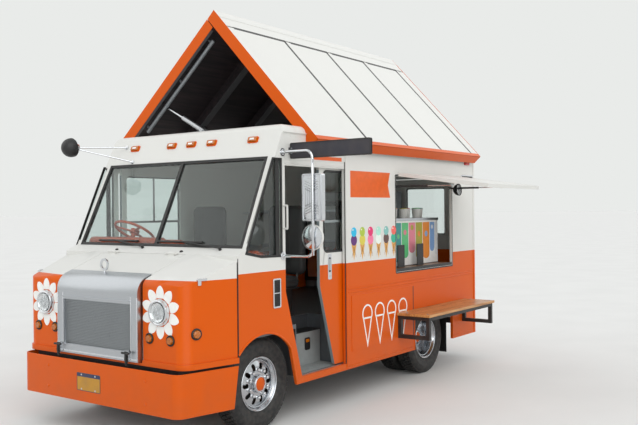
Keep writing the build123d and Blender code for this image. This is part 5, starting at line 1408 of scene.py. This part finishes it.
class TRUCK_OT_serving(Operator):
    """Adds the striped splash print, counter edging, menu cards, tubs, freezer and shelves"""
    bl_idname = "truck.serving"
    bl_label = "Serving fittings"

    def execute(self, context):
        # A printed board stands where the counter drops to its ledge, under a steel shelf
        ledge = (SERVE_X[0] + 0.002, SERVE_X[1] - 0.002)
        prints = Piece("splash_print")
        prints.block(ledge, (0.892, 0.915), (1.2545, LEDGE_SHELF_Z - 0.03), "white_film")
        at = side_face(1, 0.915)
        x = SERVE_X[0] + 0.004
        for i, (width, code) in enumerate(STRIPES):
            printed_film(f"stripe_{i}", code)
            foot = 1.39 + 0.05 * sin(i * 1.9)
            turns = [pi * k / 8 for k in range(9)]
            bulb = [(x + width / 2 + (width / 2 - 0.006) * cos(a), foot - 0.05 * sin(a)) for a in turns]
            prints.prism([(x + 0.006, 1.735), (x + width - 0.006, 1.735)] + bulb, at, -0.0005, 0.0012,
                         f"stripe_{i}")
            prints.prism(circle(width / 5, 20, (x + width / 2, foot + 0.24)), at, 0.0012, 0.0017,
                         f"stripe_{i - 1 if i else 0}")
            x += width
        prints.block(ledge, (0.42, 0.925), (LEDGE_SHELF_Z - 0.03, LEDGE_SHELF_Z), "grille_stainless")
        prints.done(edge=FITTING_EDGE)
        edge = Piece("counter_edging")
        for y, low, high in ((1.1, 1.219, 1.253), (0.921, 1.249, 1.257)):
            edge.block((SERVE_X[0] + 0.001, SERVE_X[1] - 0.001), (y, y + 0.003), (low, high), "black_abs")
        edge.done(edge=FITTING_EDGE)
        cards = Piece("menu_cards")
        at = side_face(1, 1.0)
        for x in (-2.4, -2.83):
            cards.prism(round_box(0.128, 0.225, 0.004, 3, (x, 1.371)), at, 0.0, 0.0015, "black_abs")
            cards.rim(at, round_box(0.136, 0.236, 0.005, 3, (x, 1.371)), square(0.006, 0.005), "black_steel")
        cards.done()
        tubs = Piece("topping_tubs")
        for i in range(6):
            at = Matrix.Translation((-2.5 - 0.15 * i, 0.8 - 0.05 * (i % 2), LEDGE_SHELF_Z))
            tubs.turn(((0.0, 0.0), (0.042, 0.0), (0.05, 0.1), (0.054, 0.1), (0.054, 0.108), (0.0, 0.108)),
                      at, "white_enamel", 24)
            tubs.turn(((0.0, 0.108), (0.05, 0.108), (0.046, 0.116), (0.0, 0.12)), at, f"stripe_{i + 1}", 24)
        tubs.done()
        # Upright freezer in the far rear corner
        fridge = Piece("upright_freezer")
        fridge.block((-3.98, -3.4), (-1.07, 0.1), (FLOOR_Z, 2.12), "grey_steel")
        for low, high in ((-1.06, -0.5), (-0.47, 0.09)):
            fridge.block((-3.4, -3.375), (low, high), (0.95, 2.0), "black_abs")
            fridge.block((-3.375, -3.372), (low + 0.05, high - 0.05), (1.0, 1.94), "mirror_glass")
            y = high - 0.03
            fridge.pipe([(-3.345, y, 1.2), (-3.345, y, 1.75)], 0.009, "bright_chrome", 10)
            for z in (1.2, 1.75):
                fridge.pipe([(-3.376, y, z), (-3.345, y, z)], 0.007, "bright_chrome", 8)
        fridge.block((-3.402, -3.38), (-1.06, 0.09), (2.01, 2.11), "grille_stainless")
        fridge.done(edge=0.003)
        # Shelf and rail on the inside of the far wall, seen through the serving window
        shelves = Piece("back_shelves")
        for z in BACK_SHELVES_Z:
            shelves.block((-3.3, -2.15), (-1.074, -0.78), (z, z + 0.018), "grille_stainless")
            shelves.block((-3.3, -2.15), (-0.784, -0.78), (z, z + 0.04), "grille_stainless")
            for x in (-3.25, -2.78, -2.25):
                shelves.prism(((-1.074, z), (-0.83, z), (-1.074, z - 0.16)),
                              front_face(x), -0.004, 0.004, "grille_stainless")
        shelves.done(edge=FITTING_EDGE)
        return {"FINISHED"}


class TRUCK_OT_side_table(Operator):
    """Adds the side table's plank joints and frame bolts"""
    bl_idname = "truck.side_table"
    bl_label = "Side table"

    def execute(self, context):
        low, high = span("table_top")
        lines = Piece("table_joints")
        for i in range(1, 4):
            y = low.y + (high.y - low.y) * i / 4
            lines.block((low.x + 0.002, high.x - 0.002), (y - 0.0012, y + 0.0012),
                        (high.z - 0.002, high.z + 0.0003), "seal_rubber")
        lines.done()
        bolts = Piece("table_bolts")
        for x in (low.x + 0.04, high.x - 0.05):
            for y in (low.y + 0.1, high.y - 0.05):
                bolts.turn(((0.0, 0.0), (0.011, 0.0), (0.009, 0.004), (0.0, 0.0055)),
                           Matrix.Translation((x, y, high.z)), "zinc_steel", 16)
            for z in (0.55, 0.73):
                bolts.turn(((0.0, 0.0), (0.01, 0.0), (0.009, 0.006), (0.0, 0.008)),
                           side_face(1, BODY_HALF + 0.04, x, z), "zinc_steel", 6)
        bolts.done()
        return {"FINISHED"}


# A cushion's side: how far the outline is drawn in, and the height as a share of the thickness
CUSHION_SIDE = ((0.5, 0.0), (0.06, 0.0), (0.02, 0.06), (0.0, 0.2), (0.0, 0.46), (0.012, 0.5), (0.0, 0.54),
                (0.008, 0.76), (0.04, 0.9), (0.12, 0.98), (0.24, 1.03), (0.36, 1.06), (0.5, 1.07))


def cushion(name, at, w, h, t):
    """A crowned, piped cushion on a plane, its seam round its middle."""
    piece = Piece(name)
    outlines = []
    for inset, rise in CUSHION_SIDE:
        a, b = max(0.002, w - 2 * inset * min(w, h)), max(0.002, h - 2 * inset * min(w, h))
        r = min(0.06, a / 2.2, b / 2.2)
        outlines.append(loop(at, round_box(a, b, r, 6), rise * t))
    piece.loft(outlines, "seat_vinyl")
    seam = loop(at, round_box(w + 0.002, h + 0.002, 0.06, 6), 0.5 * t)
    piece.pipe(seam + seam[:1], 0.0045, "seat_vinyl", 6)
    for side in (-0.17, 0.17):
        across = [at @ Vector((side * w, y * h, t * 1.035 - 0.02 * t * abs(2 * y) ** 3))
                  for y in (-0.4, -0.3, -0.15, 0.0, 0.15, 0.3, 0.4)]
        piece.pipe(across, 0.003, "seat_vinyl", 6)
    made = piece.done(smooth=60)


# Each seat's middle across the truck, and its side
SEATS = ((-0.64, "right"), (0.42, "left"))


class TRUCK_OT_cab_interior(Operator):
    """Replaces the plain seats with padded ones, and adds the dash top, cowls, gauges and pedals"""
    bl_idname = "truck.cab_interior"
    bl_label = "Cab interior"

    def execute(self, context):
        bases = Piece("seat_bases")
        for y, _ in SEATS:
            bases.block((-0.985, -0.635), (y - 0.16, y + 0.16), (0.861, 1.12), "black_steel")
            bases.block((-1.04, -0.6), (y - 0.21, y + 0.21), (1.115, 1.132), "black_steel")
            for rod in (y - 0.15, y + 0.15):
                bases.pipe([(-1.05, rod, 1.13), (-1.11, rod, 1.32)], 0.014, "black_steel", 10)
        made = bases.done(edge=0.002)
        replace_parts(made, "seats")
        for y, word in SEATS:
            cushion(f"seat_cushion_{word}", Matrix.Translation((-0.82, y, 1.132)), 0.46, 0.44, 0.115)
            cushion(f"seat_back_{word}", front_face(-1.15, y, 1.59), 0.44, 0.68, 0.085)
        pad = Piece("dash_top")
        pad.prism(((0.252, 1.516), (0.252, 1.532), (0.118, 1.552), (-0.052, 1.476), (-0.052, 1.44),
                   (-0.036, 1.44), (-0.036, 1.462), (0.118, 1.535)),
                  plane_at((0, 1.07, 0), (1, 0, 0), (0, 0, 1)), 0.0, 2.14, "dash_abs")
        for y in (-0.78, -0.66, -0.54):
            at = back_face(-0.061, y, 1.5)
            pad.turn(((0.0, 0.002), (0.042, 0.002), (0.046, 0.007), (0.05, 0.007), (0.052, -0.002),
                      (0.0, -0.002)), at, "black_abs", 32)
            pad.block((-0.0645, -0.063), (y - 0.001, y + 0.001), (1.5, 1.532), "white_film")
        for y in (-0.6, -0.7):
            pad.block((0.08, 0.1), (y - 0.03, y + 0.03), (0.9, 0.98), "black_abs")
            pad.pipe([(0.1, y, 0.94), (0.2, y, 1.1), (0.24, y, 1.2)], 0.008, "black_steel", 8)
        pad.done(edge=0.002)
        # Moulded cowls along the foot of the windshield: where each starts, its length and its crown
        cowls = Piece("dash_cowls")
        for y, length, top in ((-0.075, 0.955, 1.648), (0.16, 0.2, 1.63)):
            cowls.prism(((0.05, 1.5), (0.05, top - 0.06), (0.062, top - 0.022), (0.09, top - 0.003),
                         (0.13, top), (0.168, top - 0.006), (0.192, top - 0.03), (0.2, 1.5)),
                        plane_at((0, y, 0), (1, 0, 0), (0, 0, 1)), 0.0, length, "dash_abs")
        cowls.done(edge=0.008)
        return {"FINISHED"}


class TRUCK_OT_rear_trim(Operator):
    """Adds the rear doors' handles, the drip rail, blank plate, lamp bezels, mud flaps and step tread"""
    bl_idname = "truck.rear_trim"
    bl_label = "Rear trim"

    def execute(self, context):
        back = back_face(REAR_X - 0.002)
        for side, word in SIDES:
            rod = Piece(f"rear_handle_{word}")
            y = -side * 0.09
            rod.pipe([(REAR_X - 0.02, -y, 0.9), (REAR_X - 0.02, -y, 2.23)], 0.009, "zinc_steel", 12)
            for z in (0.95, 1.4, 1.8, 2.18):
                rod.prism(round_box(0.05, 0.04, 0.006, 3, (y, z)), back, 0.0, 0.026, "zinc_steel")
            rod.prism(round_box(0.05, 0.17, 0.012, 4, (y, 1.25)), back, 0.012, 0.032, "black_abs")
            rod.done(body=f"rear_door_{word}", edge=FITTING_EDGE)
            lamp = Piece(f"tail_bezel_{word}")
            wall_back, tail = back_face(REAR_X), -side * 0.96
            lamp.rim(wall_back, round_box(0.124, 0.254, 0.024, 5, (tail, 1.0)),
                     square(0.014, 0.02, 0, 0.008), "black_abs")
            lamp.turn(((0.034, -0.001), (0.046, -0.001), (0.046, 0.012), (0.036, 0.016)),
                      back_face(REAR_X, side * 0.9, 2.44), "black_abs", 32)
            for z in (0.96, 1.04):
                lamp.prism(round_box(0.1, 0.004, 0.001, 2, (tail, z)), wall_back, 0.022, 0.0255, "black_abs")
            lamp.done(edge=FITTING_EDGE)
            flap = Piece(f"mud_flap_{word}")
            for x, near, far, low, high, finish in (
                    ((-0.02, -0.012), 0.52, 1.01, 0.17, 0.62, "seal_rubber"),
                    ((-0.03, -0.004), 0.52, 1.01, 0.6, 0.63, "zinc_steel"),
                    ((-0.03, -0.004), 0.47, 0.53, 0.56, 0.63, "zinc_steel")):
                flap.block([REAR_ARCH[0] + step for step in x], (side * near, side * far), (low, high),
                           finish)
            flap.done(edge=FITTING_EDGE)
        rail = Piece("rear_drip_rail")
        rail.strip(back_face(REAR_X), [(-0.86, 2.33), (0.86, 2.33)],
                   ((-0.012, -0.001), (0.006, -0.001), (0.006, 0.022), (0.0, 0.022), (0.0, 0.004),
                    (-0.012, 0.003)), "white_enamel")
        plate = back_face(REAR_X, 0.0, 0.725)
        rail.prism(round_box(*PLATE, 0.012, 5), plate, 0.0005, 0.003, "plate_gold")
        rail.prism(round_box(0.11, 0.03, 0.008, 3, (0, 0.1)), plate, 0.0, 0.035, "bright_chrome")
        step_x = span("rear_step")[0].x
        for i in range(14):
            y = -0.84 + i * 0.129
            rail.block((step_x + 0.02, REAR_X - 0.03), (y - 0.006, y + 0.006), (0.5, 0.505),
                       "grille_stainless")
        rail.done(edge=0.0005)
        return {"FINISHED"}


class TRUCK_OT_blade_sign(Operator):
    """Frames the blade sign's blank faces and bolts its bracket"""
    bl_idname = "truck.blade_sign"
    bl_label = "Blade sign"

    def execute(self, context):
        low, high = span("blade_sign")
        frame_piece = Piece("sign_frame")
        inner = 1.125
        y, z = (inner + high.y) / 2, (low.z + high.z) / 2
        w, h = high.y - inner, high.z - low.z
        for x, lean in ((-0.283, 1), (-0.303, -1)):
            at = plane_at((x, 0, 0), (0, lean, 0), (0, 0, 1))
            frame_piece.rim(at, round_box(w, h, 0.01, 4, (lean * y, z)), square(0.01, 0.006), "black_steel")
        for z_bolt in (z - 0.02, z + 0.02):
            frame_piece.turn(((0.0, 0.0), (0.008, 0.0), (0.007, 0.005), (0.0, 0.006)),
                             front_face(-0.279, 1.14, z_bolt), "zinc_steel", 6)
        frame_piece.done()
        return {"FINISHED"}


# The step wells: their length along the truck, the tread's height and the box step's front and top
STEP_X = (-1.14, -0.475)
TREAD_Z, BOX_STEP_Y, BOX_STEP_Z = 0.4, 0.8, 0.715


class TRUCK_OT_chassis_trim(Operator):
    """Adds the shock absorbers, spring clips, tie rod and the step wells' linings"""
    bl_idname = "truck.chassis_trim"
    bl_label = "Chassis trim"

    def execute(self, context):
        trim = Piece("chassis_fittings")
        for x in (0.0, REAR_AXLE_X):
            for side in (-1, 1):
                y, spring = side * 0.34, side * 0.43
                trim.pipe([(x - 0.03, y, 0.44), (x - 0.07, y, 0.58)], 0.026, "black_steel", 16)
                trim.pipe([(x - 0.07, y, 0.58), (x - 0.105, y, 0.7)], 0.013, "zinc_steel", 12)
                for clip in (x - 0.05, x + 0.05):
                    for leg in (spring - 0.036, spring + 0.036):
                        trim.pipe([(clip, leg, 0.36), (clip, leg, 0.5)], 0.007, "zinc_steel", 8)
                    trim.block((clip - 0.012, clip + 0.012), (spring - 0.045, spring + 0.045), (0.352, 0.362),
                               "zinc_steel")
        # Steering tie rod behind the front axle
        trim.pipe([(-0.16, -0.6, 0.33), (-0.16, 0.6, 0.33)], 0.014, "black_steel", 12)
        trim.done(edge=FITTING_EDGE)
        linings = Piece("step_linings")
        for side, _ in SIDES:
            # Painted tread with a bright edge, a box step halfway up with a rubber top, and the floor's edge
            for near, far, low, high, finish in (
                    (BOX_STEP_Y, 1.05, TREAD_Z, TREAD_Z + 0.003, "step_grey"),
                    (1.05, 1.074, TREAD_Z, TREAD_Z + 0.0045, "grille_stainless"),
                    (0.645, BOX_STEP_Y, TREAD_Z, BOX_STEP_Z, "step_grey"),
                    (0.645, BOX_STEP_Y + 0.003, BOX_STEP_Z, BOX_STEP_Z + 0.009, "seal_rubber"),
                    (0.64, 0.66, FLOOR_Z - 0.005, FLOOR_Z + 0.0005, "grille_stainless")):
                linings.block(STEP_X, (side * near, side * far), (low, high), finish)
            for i in range(9):
                x = -1.1 + i * 0.07
                linings.block((x - 0.006, x + 0.006), (side * 0.83, side * 1.03),
                              (TREAD_Z + 0.003, TREAD_Z + 0.0055), "step_grey")
            riser = side_face(side, BOX_STEP_Y, -0.93, 0.6)
            linings.prism(round_box(0.085, 0.12, 0.02, 5), riser, 0.0, 0.006, "black_abs")
            linings.prism(round_box(0.055, 0.03, 0.008, 3, (0, 0.03)), riser, 0.006, 0.009, "amber_lens")
        linings.done(edge=0.0005)
        return {"FINISHED"}


# Operators in the order in which they run
PIECES = (
    TRUCK_OT_finishes, TRUCK_OT_stage, TRUCK_OT_side_trim, TRUCK_OT_windows, TRUCK_OT_side_prints,
    TRUCK_OT_nose_trim, TRUCK_OT_lamps, TRUCK_OT_grille, TRUCK_OT_bumper, TRUCK_OT_tyres, TRUCK_OT_wheel_trim,
    TRUCK_OT_mirror_trim, TRUCK_OT_roof_cladding, TRUCK_OT_hatch_trim, TRUCK_OT_serving, TRUCK_OT_side_table,
    TRUCK_OT_cab_interior, TRUCK_OT_rear_trim, TRUCK_OT_blade_sign, TRUCK_OT_chassis_trim,
)


class TRUCK_PT_panel(Panel):
    """Sizes, colours and pieces of the truck"""
    bl_idname = "TRUCK_PT_panel"
    bl_label = "Ice cream truck"
    bl_space_type = "VIEW_3D"
    bl_region_type = "UI"
    bl_category = "Truck"

    def draw(self, context):
        for group in (context.scene.truck_sizes, context.scene.truck_colours):
            for name in group.__annotations__:
                self.layout.prop(group, name)
        for piece in PIECES:
            self.layout.operator(piece.bl_idname)


CLASSES = (TruckSizes, TruckColours, *PIECES, TRUCK_PT_panel)


def register():
    for made in CLASSES:
        bpy.utils.register_class(made)
    bpy.types.Scene.truck_sizes = PointerProperty(type=TruckSizes)
    bpy.types.Scene.truck_colours = PointerProperty(type=TruckColours)


def unregister():
    del bpy.types.Scene.truck_colours
    del bpy.types.Scene.truck_sizes
    for made in reversed(CLASSES):
        bpy.utils.unregister_class(made)


def main():
    register()
    for piece in PIECES:
        family, name = piece.bl_idname.split(".")
        getattr(getattr(bpy.ops, family), name)()


if __name__ == "__main__":
    main()
